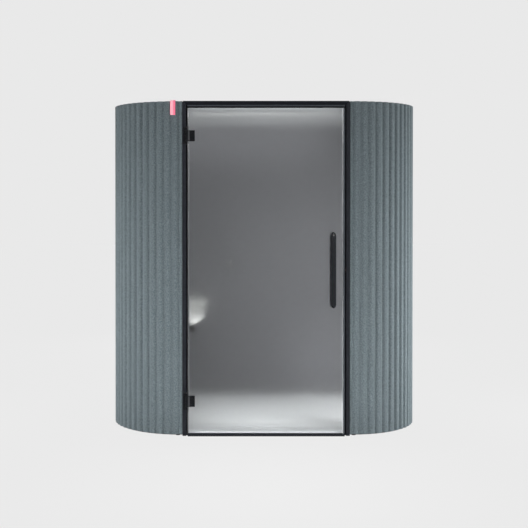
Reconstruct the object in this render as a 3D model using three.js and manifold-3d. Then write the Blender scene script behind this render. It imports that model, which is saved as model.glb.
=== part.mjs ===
// Acoustic office pod: a rounded cabin of fluted felt walls with a framed glass door, in millimetres, +Z up.
// The plan is drawn about the cabin's middle, with the door facing -Y and the floor under the feet at Z = 0.
import * as THREE from 'three';
import { mergeVertices } from 'three/addons/utils/BufferGeometryUtils.js';
import Module from 'manifold-3d';

const wasm = await Module();
wasm.setup();

// Clearances
const SEAT_GAP = 0.3; // between pieces that are fixed to each other
const RUN_GAP = 0.3; // round a shaft, pin or plunger that moves
const OVERRUN = 1; // joins and cuts run past a face by this

// Cabin
const POD_HEIGHT = 2243; // floor to the top of the door frame
const POD_DEPTH = 1350; // over the felt crowns, front to back
const CORNER_RADIUS = 479; // of the felt crowns, in plan
const FRONT_MARGIN = 20; // flat felt between the frame and the first flute
const FELT_FRAME_GAP = 1.5; // shadow gap between felt and jamb
const RIM_DROP = 1; // felt rim below the frame top
const GROUND_GAP = 10; // deck above the floor
const FELT_LIFT = 6; // felt hem above the underside of the deck

// Wall layers
const FLUTES_PER_CORNER = 14;
const FLUTES_PER_SIDE = 7;
const FLUTES_PER_REAR = 21;
const FLUTE_DEPTH = 12;
const FLUTE_POWER = 4.4; // higher is a flatter crown with a narrower groove
const FLUTE_STATIONS = [0, 0.1, 0.24, 0.38, 0.62, 0.76, 0.9]; // share of one flute
const FELT_THICKNESS = 20; // from crown to back
const CORE_THICKNESS = 50;
const LINING_THICKNESS = 12;

// Door frame
const FRAME_WIDTH = 1118;
const FRAME_FACE = 25; // visible width of the black frame
const FRAME_PROJECTION = 5; // in front of the felt crowns
const FRAME_WALL = 4; // of the hollow extrusion
const FRAME_BOTTOM = 7;
const FRAME_CORNER = 7; // chamfer across the outer upper corners
const STOP_WIDTH = 18; // lip that the leaf closes against
const MITRE_GAP = 0.45;
const SEAL_THICKNESS = 4.4;
const SEAL_WIDTH = 12;
const SEAL_INSET = 2; // seal edge inside the rebate

// Door leaf
const LEAF_GAP = 9; // between leaf edge and jamb
const LEAF_TOP_GAP = 2;
const LEAF_THICKNESS = 14;
const GLASS_THICKNESS = 10;
const RAIL_HEIGHT = 18;
const STILE_WIDTH = 13;
const RAIL_BITE = 10; // glass let into the rails
const STILE_BITE = 4; // glass let into the lock stile
const SWEEP_HEIGHT = 3.5;
const SWEEP_THICKNESS = 6;

// Hinges
const HINGE_FROM_END = 232; // hinge middle from the frame's foot, and from its top
const HINGE_LENGTH = 110;
const HINGE_PATCH_HEIGHT = 73;
const HINGE_PATCH_WIDTH = 49;
const HINGE_PATCH_THICKNESS = 6;
const HINGE_PATCH_ROUND = 3;
const HINGE_PLATE_WIDTH = 16;
const HINGE_PLATE_THICKNESS = 4;
const KNUCKLE_RADIUS = 6.5;
const KNUCKLE_OFFSET = 0.8; // knuckle in front of the frame face
const PIN_RADIUS = 3;
const PIN_HEAD_RADIUS = 5;
const PIN_HEAD_HEIGHT = 3;
const CLAMP_SPIGOT_RADIUS = 5;
const CLAMP_SPIGOT_SPACING = 40;
const CLAMP_FROM_EDGE = 30; // spigot middle from the leaf's hinge edge

// Pull handles
const HANDLE_LENGTH = 505;
const HANDLE_CENTRE_Z = 1116;
const HANDLE_FROM_EDGE = 82; // bar middle from the leaf's lock edge
const HANDLE_BAR_WIDTH = 38;
const HANDLE_END_WIDTH = 20; // the bar narrows to this where it meets the glass
const HANDLE_BAR_DEPTH = 18;
const HANDLE_REACH = 48; // bar middle from the glass
const HANDLE_BEND = 34;
const HANDLE_SPIGOT_RADIUS = 6;

// Latch
const BOLT_RADIUS = 4;
const BOLT_LENGTH = 12;
const BOLT_NOSE = 2; // length of the domed nose
const BOLT_TIP_RADIUS = 2;
const STRIKE_HEIGHT = 40;
const STRIKE_THICKNESS = 1.5;
const STRIKE_WIDTH = 12;

// Floor
const DECK_THICKNESS = 14;
const CARPET_THICKNESS = 6;
const SILL_RISE = 6; // bevel along the front of the threshold
const FOOT_RADIUS = 16;
const FOOT_PAD_HEIGHT = 6;
const FOOT_CHAMFER = 2;
const FOOT_STEM_RADIUS = 5;
const FOOT_NUT_RADIUS = 9;
const FOOT_INSET = 60; // foot middle from the felt crowns
const FOOT_FROM_FRAME = 33; // foot middle outside the door frame

// Roof
const ROOF_THICKNESS = 15;
const ROOF_DROP = 4; // roof top below the frame top
const CEILING_CAVITY = 26;
const CEILING_THICKNESS = 9;
const CEILING_LIP = 12;
const VENT_SLOTS = 7;
const VENT_SLOT_WIDTH = 8;
const VENT_SLOT_PITCH = 15;
const FAN_X = 430;
const FAN_Y = 240;
const FAN_SIZE = 120;
const FAN_HEIGHT = 25;
const FAN_CORNER = 4;
const FAN_BORE_RADIUS = 56;
const FAN_HUB_RADIUS = 19;
const FAN_TIP_GAP = 1.5;
const FAN_BLADES = 7;
const FAN_BLADE_THICKNESS = 1.6;
const FAN_BLADE_CHORD = 24;
const FAN_ROOT_PITCH = 49; // degrees
const FAN_TIP_PITCH = 29;
const FAN_SHAFT_RADIUS = 1.5;
const FAN_STRUT = 4;
const LIGHT_LENGTH = 1000;
const LIGHT_WIDTH = 70;
const LIGHT_Y = -330;
const LIGHT_HEIGHT = 22;
const LIGHT_FLANGE = 8;
const LIGHT_WALL = 1.5;
const DIFFUSER_THICKNESS = 4;
const SENSOR_RADIUS = 30;
const SENSOR_HEIGHT = 14;
const SENSOR_RIM = 6; // straight rim under the ceiling
const SENSOR_LENS_RADIUS = 23;
const SENSOR_Y = 120;
const SUPPLY_LENGTH = 190;
const SUPPLY_WIDTH = 66;
const SUPPLY_HEIGHT = 24;
const SUPPLY_ROUND = 4;

// Worktop
const WORKTOP_TOP = 755;
const WORKTOP_THICKNESS = 22;
const WORKTOP_EDGE_X = 437; // straight user edge, left of the middle
const WORKTOP_SWEEP = 70; // the user edge draws back by this at the door
const WORKTOP_WALL_GAP = 3;
const UPSTAND_HEIGHT = 39;
const UPSTAND_THICKNESS = 12;
const BRACKET_LEG = 42;
const BRACKET_REACH = 90;
const BRACKET_THICKNESS = 4;
const BRACKET_FRONT_WIDTH = 78;
const BRACKET_SIDE_WIDTH = 260;
const BRACKET_EDGE = 20; // rear bracket behind the user edge

// Electrics
const MODULE_LENGTH = 240;
const MODULE_DEPTH = 62;
const MODULE_HEIGHT = 48;
const MODULE_ROUND = 6;
const MODULE_SOCKETS = 3;
const MODULE_SOCKET_RADIUS = 19;
const MODULE_SOCKET_DEPTH = 14;
const CONTROL_X = -250;
const CONTROL_Z = 1080;
const CONTROL_SIZE = 84;
const CONTROL_THICKNESS = 14;
const CONTROL_ROUND = 8;
const BUTTON_RADIUS = 15;
const BUTTON_LENGTH = 9;
const BUTTON_PROUD = 3.5;
const BUTTON_CHAMFER = 1;
const INLET_WIDTH = 90;
const INLET_HEIGHT = 60;
const INLET_X = 470;
const INLET_Z = 110;
const INLET_RECESS = 15;
const INLET_MARGIN = 14;

// Fabric tab
const TAB_WIDTH = 34;
const TAB_DROP = 103;
const TAB_RETURN = 18;
const TAB_RISE = 6; // top of the fold above the rim
const TAB_THICKNESS = 1.4;
const TAB_ANGLE = 5.1; // degrees round the front corner

// Levels and planes worked out from the sizes above
const HALF_DEPTH = POD_DEPTH / 2;
const FRAME_HALF = FRAME_WIDTH / 2;
const ARC_X = FRAME_HALF + FELT_FRAME_GAP + FRONT_MARGIN;
const ARC_Y = HALF_DEPTH - CORNER_RADIUS;
const CORE_OUTER = FELT_THICKNESS + SEAT_GAP;
const CORE_INNER = CORE_OUTER + CORE_THICKNESS;
const LINING_OUTER = CORE_INNER + SEAT_GAP;
const WALL = LINING_OUTER + LINING_THICKNESS;
const FRONT_Y = -HALF_DEPTH - FRAME_PROJECTION;
const INNER_FRONT_Y = -HALF_DEPTH + WALL;
const INNER_REAR_Y = HALF_DEPTH - WALL;
const INNER_SIDE_X = ARC_X + CORNER_RADIUS - WALL;
const FELT_BOTTOM = GROUND_GAP + FELT_LIFT;
const DECK_TOP = GROUND_GAP + DECK_THICKNESS;
const FLOOR_TOP = DECK_TOP + SEAT_GAP + CARPET_THICKNESS;
const RIM_TOP = POD_HEIGHT - RIM_DROP;
const ROOF_TOP = POD_HEIGHT - ROOF_DROP;
const ROOF_BOTTOM = ROOF_TOP - ROOF_THICKNESS;
const CEILING_TOP = ROOF_BOTTOM - CEILING_CAVITY;
const CEILING_BOTTOM = CEILING_TOP - CEILING_THICKNESS;
const JAMB_INNER = FRAME_HALF - FRAME_FACE;
const STOP_INNER = JAMB_INNER - STOP_WIDTH;
const STOP_Y = FRONT_Y + LEAF_THICKNESS + SEAL_THICKNESS + 2 * SEAT_GAP;
const LEAF_HALF = JAMB_INNER - LEAF_GAP;
const LEAF_BOTTOM = FRAME_BOTTOM;
const LEAF_TOP = POD_HEIGHT - FRAME_FACE - LEAF_TOP_GAP;
const LEAF_BACK_Y = FRONT_Y + LEAF_THICKNESS;
const GLASS_FRONT_Y = FRONT_Y + (LEAF_THICKNESS - GLASS_THICKNESS) / 2;
const GLASS_BACK_Y = GLASS_FRONT_Y + GLASS_THICKNESS;
const HANDLE_X = LEAF_HALF - HANDLE_FROM_EDGE;
const HANDLE_FRONT_Y = GLASS_FRONT_Y - HANDLE_REACH - HANDLE_BAR_DEPTH / 2;

// Finishes
function finish(color, roughness, metalness = 0) {
  return new THREE.MeshStandardMaterial({ color, roughness, metalness });
}

const feltGrey = finish(0x6f7a7e, 0.95);
const liningGrey = finish(0x55585c, 0.95);
const coreBoard = finish(0x8d8272, 0.9);
const frameBlack = finish(0x1f2124, 0.45, 0.6);
const hingeBlack = finish(0x17181a, 0.4, 0.6);
const sealRubber = finish(0x141414, 0.85);
const frostedGlass = finish(0xb9c1c4, 0.35);
const steel = finish(0x9aa0a4, 0.35, 0.9);
const deckBoard = finish(0x3a3a3a, 0.8);
const carpetPale = finish(0xb8b9ba, 0.95);
const panelWhite = finish(0xdedfe0, 0.6);
const roofBoard = finish(0x2b2d2f, 0.7);
const blackPlastic = finish(0x1c1c1e, 0.55);
const diffuserWhite = finish(0xf4f2ea, 0.4);
const tabPink = finish(0xf2697f, 0.8);

const pod = new THREE.Group();
const door = new THREE.Group();
pod.add(door);

function place(group, name, geometry, material) {
  const mesh = new THREE.Mesh(geometry, material);
  mesh.name = name;
  group.add(mesh);
}

// Extrusions along each axis: drawn in (x, y), (x, z) or (y, z), with the depth between two planes.
const EXTRUDE = { bevelEnabled: false, curveSegments: 8 };

function extrudeZ(shape, z0, z1) {
  return new THREE.ExtrudeGeometry(shape, { ...EXTRUDE, depth: z1 - z0 }).translate(0, 0, z0);
}

function extrudeY(shape, y0, y1) {
  const geometry = new THREE.ExtrudeGeometry(shape, { ...EXTRUDE, depth: y1 - y0 });
  return geometry.rotateX(Math.PI / 2).translate(0, y1, 0);
}

function extrudeX(shape, x0, x1) {
  const axes = new THREE.Matrix4().makeBasis(
    new THREE.Vector3(0, 1, 0), new THREE.Vector3(0, 0, 1), new THREE.Vector3(1, 0, 0));
  const geometry = new THREE.ExtrudeGeometry(shape, { ...EXTRUDE, depth: x1 - x0 });
  return geometry.applyMatrix4(axes).translate(x0, 0, 0);
}

// A block between two corners.
function block(x0, x1, y0, y1, z0, z1) {
  const geometry = new THREE.BoxGeometry(x1 - x0, y1 - y0, z1 - z0);
  return geometry.translate((x0 + x1) / 2, (y0 + y1) / 2, (z0 + z1) / 2);
}

// Solids turned about a line parallel to Z, from [radius, height] points.
const TURN_FACETS = 16;

function turned(points) {
  const profile = points.map(([radius, height]) => new THREE.Vector2(radius, height));
  return outward(new THREE.LatheGeometry(profile, TURN_FACETS).rotateX(Math.PI / 2));
}

function rod(radius, z0, z1) {
  return turned([[0, z0], [radius, z0], [radius, z1], [0, z1]]);
}

function rodAlongY(radius, x, z, y0, y1) {
  return rod(radius, y0, y1).rotateX(-Math.PI / 2).translate(x, 0, z);
}

function rodAlongX(radius, y, z, x0, x1) {
  return rod(radius, x0, x1).rotateY(Math.PI / 2).translate(0, y, z);
}

// Merged triangles of a geometry, position only.
const WELD = 1e-4;

function welded(geometry) {
  const plain = geometry.clone();
  plain.deleteAttribute('normal');
  plain.deleteAttribute('uv');
  return mergeVertices(plain, WELD);
}

function flipped(geometry) {
  const plain = welded(geometry);
  const order = plain.index.array;
  for (let i = 0; i < order.length; i += 3) {
    [order[i + 1], order[i + 2]] = [order[i + 2], order[i + 1]];
  }
  return plain;
}

// Turns a closed surface so that its faces point out.
function outward(geometry) {
  const plain = welded(geometry);
  const at = plain.attributes.position;
  const order = plain.index.array;
  const [a, b, c] = [new THREE.Vector3(), new THREE.Vector3(), new THREE.Vector3()];
  let volume = 0;
  for (let i = 0; i < order.length; i += 3) {
    a.fromBufferAttribute(at, order[i]);
    b.fromBufferAttribute(at, order[i + 1]);
    c.fromBufferAttribute(at, order[i + 2]);
    volume += a.dot(b.cross(c));
  }
  return volume < 0 ? flipped(plain) : plain;
}

function mirroredX(geometry) {
  return flipped(geometry.clone().scale(-1, 1, 1));
}

// Boolean joins and cuts.
function solid(geometry) {
  const plain = welded(geometry);
  const triVerts = new Uint32Array(plain.index.array);
  const vertProperties = new Float32Array(plain.attributes.position.array);
  return new wasm.Manifold(new wasm.Mesh({ numProp: 3, vertProperties, triVerts }));
}

function shaped(body, { joins = [], cuts = [] }) {
  let result = solid(body);
  for (const piece of joins) result = result.add(solid(piece));
  for (const piece of cuts) result = result.subtract(solid(piece));
  const mesh = result.getMesh();
  const geometry = new THREE.BufferGeometry();
  geometry.setAttribute('position', new THREE.BufferAttribute(mesh.vertProperties, 3));
  geometry.setIndex(new THREE.BufferAttribute(mesh.triVerts, 1));
  return geometry;
}

function polygon(points) {
  return new THREE.Shape(points.map(([x, y]) => new THREE.Vector2(x, y)));
}

function rectangle(x0, x1, y0, y1) {
  return polygon([[x0, y0], [x1, y0], [x1, y1], [x0, y1]]);
}

function roundHole(x, y, radius) {
  return new THREE.Path().absarc(x, y, radius, 0, 2 * Math.PI);
}

// Corners turned in a few steps.
const QUARTER = Math.PI / 2;
const ROUND_STEPS = 3;

function roundedRectangle(x0, x1, y0, y1, radius) {
  const points = [];
  const corners = [[x1, y0, -1], [x1, y1, 0], [x0, y1, 1], [x0, y0, 2]];
  for (const [x, y, quarter] of corners) {
    const cx = x === x1 ? x - radius : x + radius;
    const cy = y === y1 ? y - radius : y + radius;
    for (let i = 0; i <= ROUND_STEPS; i += 1) {
      const angle = QUARTER * (quarter + i / ROUND_STEPS);
      points.push([cx + radius * Math.cos(angle), cy + radius * Math.sin(angle)]);
    }
  }
  return polygon(points);
}

// Plan of the walls. Insets run inwards from the felt crowns, and every layer shares the corner angles.
function cornerRun(cx, cy, radius, start, turn) {
  const run = [];
  for (let i = 0; i <= FLUTES_PER_CORNER; i += 1) {
    const angle = start + (turn * i) / FLUTES_PER_CORNER;
    run.push([cx + radius * Math.cos(angle), cy + radius * Math.sin(angle)]);
  }
  return run;
}

function leftRun(inset) {
  const radius = CORNER_RADIUS - inset;
  return [
    ...cornerRun(-ARC_X, -ARC_Y, radius, -QUARTER, -QUARTER),
    ...cornerRun(-ARC_X, ARC_Y, radius, 2 * QUARTER, -QUARTER),
  ];
}

const mirrorPlan = (points) => points.map(([x, y]) => [-x, y]);

// Fluted face: inset of the felt at a share of one flute, zero on the crown and deepest in the round groove.
const fluteInset = (share) => FLUTE_DEPTH * Math.abs(Math.cos(Math.PI * share)) ** FLUTE_POWER;

function flutedRun(count, pointAt) {
  const run = [];
  for (let flute = 0; flute < count; flute += 1) {
    for (const share of FLUTE_STATIONS) run.push(pointAt((flute + share) / count, fluteInset(share)));
  }
  return run;
}

function flutedCorner(cx, cy, start) {
  return flutedRun(FLUTES_PER_CORNER, (along, inset) => {
    const angle = start - QUARTER * along;
    const radius = CORNER_RADIUS - inset;
    return [cx + radius * Math.cos(angle), cy + radius * Math.sin(angle)];
  });
}

// End shells: front corner, side and rear corner in one C-shaped run from the door frame to the rear panel.
function leftFeltPlan() {
  const edgeX = FRAME_HALF + FELT_FRAME_GAP;
  const sideX = ARC_X + CORNER_RADIUS;
  const margin = FLUTE_STATIONS.filter((share) => share > 0.5).map((share) => {
    const along = 2 * share - 1;
    return [-edgeX - FRONT_MARGIN * along, -HALF_DEPTH + fluteInset(share)];
  });
  const side = flutedRun(FLUTES_PER_SIDE, (along, inset) => [inset - sideX, ARC_Y * (2 * along - 1)]);
  return [
    [-edgeX, -HALF_DEPTH],
    ...margin,
    ...flutedCorner(-ARC_X, -ARC_Y, -QUARTER),
    ...side,
    ...flutedCorner(-ARC_X, ARC_Y, 2 * QUARTER),
    [-ARC_X, HALF_DEPTH - FLUTE_DEPTH],
    ...leftRun(FELT_THICKNESS).reverse(),
    [-edgeX, -HALF_DEPTH + FELT_THICKNESS],
  ];
}

function leftLayerPlan(outer, inner) {
  const edgeX = FRAME_HALF + SEAT_GAP;
  return [
    [-edgeX, -HALF_DEPTH + outer],
    ...leftRun(outer),
    ...leftRun(inner).reverse(),
    [-edgeX, -HALF_DEPTH + inner],
  ];
}

const REAR_HALF = ARC_X - SEAT_GAP;

function rearFeltPlan() {
  const pointAt = (along, inset) => [REAR_HALF * (2 * along - 1), HALF_DEPTH - inset];
  return [
    ...flutedRun(FLUTES_PER_REAR, pointAt),
    [REAR_HALF, HALF_DEPTH - FLUTE_DEPTH],
    [REAR_HALF, HALF_DEPTH - FELT_THICKNESS],
    [-REAR_HALF, HALF_DEPTH - FELT_THICKNESS],
  ];
}

// Panels that fill the whole plan, with a notch in the front for the door frame.
function panelPlan(inset) {
  const left = leftRun(inset);
  const notchX = FRAME_HALF + SEAT_GAP;
  const notchY = INNER_FRONT_Y + SEAT_GAP;
  return [
    [-notchX, notchY],
    [-notchX, -HALF_DEPTH + inset],
    ...left,
    ...mirrorPlan(left).reverse(),
    [notchX, -HALF_DEPTH + inset],
    [notchX, notchY],
  ];
}

// Walls
const inletCut = block(
  INLET_X - INLET_WIDTH / 2 - SEAT_GAP, INLET_X + INLET_WIDTH / 2 + SEAT_GAP,
  HALF_DEPTH - CORE_OUTER, HALF_DEPTH + FLUTE_DEPTH,
  INLET_Z - INLET_HEIGHT / 2 - SEAT_GAP, INLET_Z + INLET_HEIGHT / 2 + SEAT_GAP);
const wallFoot = DECK_TOP + SEAT_GAP;
const coreTop = ROOF_BOTTOM - SEAT_GAP;
const liningTop = CEILING_BOTTOM - SEAT_GAP;

for (const [side, plan] of [['left', (points) => points], ['right', mirrorPlan]]) {
  const felt = polygon(plan(leftFeltPlan()));
  const core = polygon(plan(leftLayerPlan(CORE_OUTER, CORE_INNER)));
  const lining = polygon(plan(leftLayerPlan(LINING_OUTER, WALL)));
  place(pod, `${side}_end_felt`, extrudeZ(felt, FELT_BOTTOM, RIM_TOP), feltGrey);
  place(pod, `${side}_end_core`, extrudeZ(core, wallFoot, coreTop), coreBoard);
  place(pod, `${side}_end_lining`, extrudeZ(lining, wallFoot, liningTop), liningGrey);
}

const rearFelt = extrudeZ(polygon(rearFeltPlan()), FELT_BOTTOM, RIM_TOP);
const rearCore = rectangle(-REAR_HALF, REAR_HALF, HALF_DEPTH - CORE_INNER, HALF_DEPTH - CORE_OUTER);
const rearLining = rectangle(-REAR_HALF, REAR_HALF, INNER_REAR_Y, HALF_DEPTH - LINING_OUTER);
place(pod, 'rear_felt', shaped(rearFelt, { cuts: [inletCut] }), feltGrey);
place(pod, 'rear_core', extrudeZ(rearCore, wallFoot, coreTop), coreBoard);
place(pod, 'rear_lining', extrudeZ(rearLining, wallFoot, liningTop), liningGrey);

// Mains inlet, let into the rear felt and seated on the core
const inletBody = block(
  INLET_X - INLET_WIDTH / 2, INLET_X + INLET_WIDTH / 2,
  HALF_DEPTH - FELT_THICKNESS, HALF_DEPTH,
  INLET_Z - INLET_HEIGHT / 2, INLET_Z + INLET_HEIGHT / 2);
const inletWell = block(
  INLET_X - INLET_WIDTH / 2 + INLET_MARGIN, INLET_X + INLET_WIDTH / 2 - INLET_MARGIN,
  HALF_DEPTH - INLET_RECESS, HALF_DEPTH + INLET_RECESS,
  INLET_Z - INLET_HEIGHT / 2 + INLET_MARGIN, INLET_Z + INLET_HEIGHT / 2 - INLET_MARGIN);
place(pod, 'mains_inlet', shaped(inletBody, { cuts: [inletWell] }), blackPlastic);

// Floor: deck with holes for the foot stems, carpet inside the linings, threshold between the jambs
const footX = FRAME_HALF + FOOT_FROM_FRAME;
const feet = {
  front_left: [-footX, -HALF_DEPTH + FOOT_INSET],
  front_right: [footX, -HALF_DEPTH + FOOT_INSET],
  side_left: [-(ARC_X + CORNER_RADIUS - FOOT_INSET), 0],
  side_right: [ARC_X + CORNER_RADIUS - FOOT_INSET, 0],
  rear_left: [-footX, HALF_DEPTH - FOOT_INSET],
  rear_right: [footX, HALF_DEPTH - FOOT_INSET],
};
const deck = polygon(panelPlan(CORE_OUTER));
for (const [x, y] of Object.values(feet)) deck.holes.push(roundHole(x, y, FOOT_STEM_RADIUS + RUN_GAP));
place(pod, 'base_deck', extrudeZ(deck, GROUND_GAP, DECK_TOP), deckBoard);
const carpet = polygon(panelPlan(WALL + SEAT_GAP));
place(pod, 'floor_carpet', extrudeZ(carpet, DECK_TOP + SEAT_GAP, FLOOR_TOP), carpetPale);

const sillFront = STOP_Y;
const sillBack = INNER_FRONT_Y;
const sill = polygon([
  [sillFront, GROUND_GAP], [sillBack, GROUND_GAP], [sillBack, FLOOR_TOP],
  [sillFront + SILL_RISE, FLOOR_TOP], [sillFront, FLOOR_TOP - SILL_RISE],
]);
place(pod, 'threshold', extrudeX(sill, -STOP_INNER + SEAT_GAP, STOP_INNER - SEAT_GAP), steel);

// Levelling feet: pad, lock nut and stem turned in one piece
for (const [corner, [x, y]] of Object.entries(feet)) {
  const profile = [
    [0, 0], [FOOT_RADIUS - FOOT_CHAMFER / 2, 0], [FOOT_RADIUS, FOOT_CHAMFER],
    [FOOT_NUT_RADIUS, FOOT_PAD_HEIGHT], [FOOT_NUT_RADIUS, GROUND_GAP - RUN_GAP],
    [FOOT_STEM_RADIUS, GROUND_GAP - RUN_GAP], [FOOT_STEM_RADIUS, DECK_TOP], [0, DECK_TOP],
  ];
  place(pod, `foot_${corner}`, turned(profile).translate(x, y, 0), blackPlastic);
}

// Door frame: one hollow L-shaped extrusion, mitred at the upper corners
function frameSection() {
  const full = FRAME_FACE + STOP_WIDTH;
  const depth = INNER_FRONT_Y - FRONT_Y;
  const rebate = STOP_Y - FRONT_Y;
  const section = polygon([
    [0, 0], [FRAME_FACE, 0], [FRAME_FACE, rebate], [full, rebate], [full, depth], [0, depth],
  ]);
  section.holes.push(rectangle(FRAME_WALL, full - FRAME_WALL, rebate + FRAME_WALL, depth - FRAME_WALL));
  return section;
}

// Moves every vertex of a unit-long extrusion by a rule on (inset from the outer edge, depth, end).
function frameBar(rule) {
  const geometry = extrudeZ(frameSection(), 0, 1);
  const at = geometry.attributes.position;
  for (let i = 0; i < at.count; i += 1) {
    at.setXYZ(i, ...rule(at.getX(i), FRONT_Y + at.getY(i), at.getZ(i) > 0.5));
  }
  return outward(geometry);
}

const leftJamb = frameBar((inset, y, top) => {
  const end = top ? POD_HEIGHT - inset : FRAME_BOTTOM;
  return [inset - FRAME_HALF, y, end];
});
const head = frameBar((inset, y, right) => {
  const reach = FRAME_HALF - inset - MITRE_GAP;
  return [right ? reach : -reach, y, POD_HEIGHT - inset];
});
const cornerSide = FRAME_CORNER * Math.SQRT2;
const cornerCut = block(-cornerSide / 2, cornerSide / 2, 2 * FRONT_Y, 0, -cornerSide / 2, cornerSide / 2)
  .rotateY(QUARTER / 2).translate(-FRAME_HALF, 0, POD_HEIGHT);
const chamferedJamb = shaped(leftJamb, { cuts: [cornerCut] });
place(pod, 'frame_jamb_left', chamferedJamb, frameBlack);
place(pod, 'frame_jamb_right', mirroredX(chamferedJamb), frameBlack);
place(pod, 'frame_head', shaped(head, { cuts: [cornerCut, mirroredX(cornerCut)] }), frameBlack);

// Seal that the leaf closes on, one loop in the rebate
const sealHalf = JAMB_INNER - SEAL_INSET;
const sealTop = POD_HEIGHT - FRAME_FACE - SEAL_INSET;
const sealBottom = GROUND_GAP + SEAL_INSET;
const seal = rectangle(-sealHalf, sealHalf, sealBottom, sealTop);
seal.holes.push(rectangle(
  -sealHalf + SEAL_WIDTH, sealHalf - SEAL_WIDTH, sealBottom + SEAL_WIDTH, sealTop - SEAL_WIDTH));
place(pod, 'frame_seal', extrudeY(seal, STOP_Y - SEAT_GAP - SEAL_THICKNESS, STOP_Y - SEAT_GAP), sealRubber);

// Door leaf: glass let into channel rails and the lock stile, its hinge edge bare
const hingeLevels = { lower: FRAME_BOTTOM + HINGE_FROM_END, upper: POD_HEIGHT - HINGE_FROM_END };
const patchOuterX = -LEAF_HALF + HINGE_PATCH_WIDTH;
const clampX = -LEAF_HALF + CLAMP_FROM_EDGE;
const clampHoles = [-CLAMP_SPIGOT_SPACING / 2, CLAMP_SPIGOT_SPACING / 2];
const handleEnds = [-1, 1].map((end) => HANDLE_CENTRE_Z + end * (HANDLE_LENGTH - HANDLE_BAR_DEPTH) / 2);

const stileInnerX = LEAF_HALF - STILE_WIDTH;
const glass = rectangle(
  -LEAF_HALF, stileInnerX + STILE_BITE,
  LEAF_BOTTOM + RAIL_HEIGHT - RAIL_BITE, LEAF_TOP - RAIL_HEIGHT + RAIL_BITE);
for (const level of Object.values(hingeLevels)) {
  for (const z of clampHoles) glass.holes.push(roundHole(clampX, level + z, CLAMP_SPIGOT_RADIUS + SEAT_GAP));
}
for (const z of handleEnds) glass.holes.push(roundHole(HANDLE_X, z, HANDLE_SPIGOT_RADIUS + SEAT_GAP));
place(door, 'door_glass', extrudeY(glass, GLASS_FRONT_Y, GLASS_BACK_Y), frostedGlass);

// Channel section in (depth, height): closed at the outer edge, open towards the glass.
function channel(outer, inner, bite) {
  const back = inner + Math.sign(outer - inner) * (bite + SEAT_GAP);
  return polygon([
    [FRONT_Y, outer], [LEAF_BACK_Y, outer], [LEAF_BACK_Y, inner], [GLASS_BACK_Y + SEAT_GAP, inner],
    [GLASS_BACK_Y + SEAT_GAP, back], [GLASS_FRONT_Y - SEAT_GAP, back], [GLASS_FRONT_Y - SEAT_GAP, inner],
    [FRONT_Y, inner],
  ]);
}

const topRail = channel(LEAF_TOP, LEAF_TOP - RAIL_HEIGHT, RAIL_BITE);
const bottomRail = channel(LEAF_BOTTOM, LEAF_BOTTOM + RAIL_HEIGHT, RAIL_BITE);
place(door, 'door_top_rail', extrudeX(topRail, -LEAF_HALF, LEAF_HALF), frameBlack);
place(door, 'door_bottom_rail', extrudeX(bottomRail, -LEAF_HALF, LEAF_HALF), frameBlack);

const stileChannel = channel(LEAF_HALF, stileInnerX, STILE_BITE);
const stileSection = polygon(stileChannel.getPoints().map(({ x, y }) => [y, x]));
const stile = extrudeZ(stileSection, LEAF_BOTTOM + RAIL_HEIGHT + SEAT_GAP, LEAF_TOP - RAIL_HEIGHT - SEAT_GAP);
const boltY = FRONT_Y + LEAF_THICKNESS / 2;
const boltBore = rodAlongX(
  BOLT_RADIUS + RUN_GAP, boltY, HANDLE_CENTRE_Z, stileInnerX + STILE_BITE, LEAF_HALF + OVERRUN);
place(door, 'door_lock_stile', shaped(stile, { cuts: [boltBore] }), frameBlack);

const sweepMiddle = FRONT_Y + LEAF_THICKNESS / 2;
place(door, 'door_sweep', block(
  -LEAF_HALF, LEAF_HALF, sweepMiddle - SWEEP_THICKNESS / 2, sweepMiddle + SWEEP_THICKNESS / 2,
  LEAF_BOTTOM - SEAT_GAP - SWEEP_HEIGHT, LEAF_BOTTOM - SEAT_GAP), sealRubber);

// Latch: sprung bolt with a domed nose in the stile, strike plate on the jamb
const strikeX = JAMB_INNER - SEAT_GAP - STRIKE_THICKNESS;
const noseX = strikeX - RUN_GAP;
const boltTail = noseX - BOLT_LENGTH;
const bolt = turned([
  [0, boltTail], [BOLT_RADIUS, boltTail], [BOLT_RADIUS, noseX - BOLT_NOSE],
  [BOLT_TIP_RADIUS, noseX], [0, noseX],
]).rotateY(Math.PI / 2).translate(0, boltY, HANDLE_CENTRE_Z);
place(door, 'latch_bolt', bolt, steel);
place(pod, 'strike_plate', block(
  strikeX, JAMB_INNER - SEAT_GAP, boltY - STRIKE_WIDTH / 2, boltY + STRIKE_WIDTH / 2,
  HANDLE_CENTRE_Z - STRIKE_HEIGHT / 2, HANDLE_CENTRE_Z + STRIKE_HEIGHT / 2), steel);

// Hinges: frame leaf with two knuckles, pin, glass leaf with the middle knuckle, and a clamp plate inside
const pivotX = -(JAMB_INNER + LEAF_HALF) / 2;
const pivotY = FRONT_Y - KNUCKLE_RADIUS - KNUCKLE_OFFSET;
const middleHalf = HINGE_PATCH_HEIGHT / 2;
const hingeHalf = HINGE_LENGTH / 2;
const plateBackY = FRONT_Y - SEAT_GAP;
const plateFrontY = plateBackY - HINGE_PLATE_THICKNESS;
const patchBackY = GLASS_FRONT_Y - SEAT_GAP;
const patchFrontY = patchBackY - HINGE_PATCH_THICKNESS;
const pinBore = rod(PIN_RADIUS + RUN_GAP, -HINGE_LENGTH, HINGE_LENGTH).translate(pivotX, pivotY, 0);
const knuckle = (z0, z1) => rod(KNUCKLE_RADIUS, z0, z1).translate(pivotX, pivotY, 0);

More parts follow.
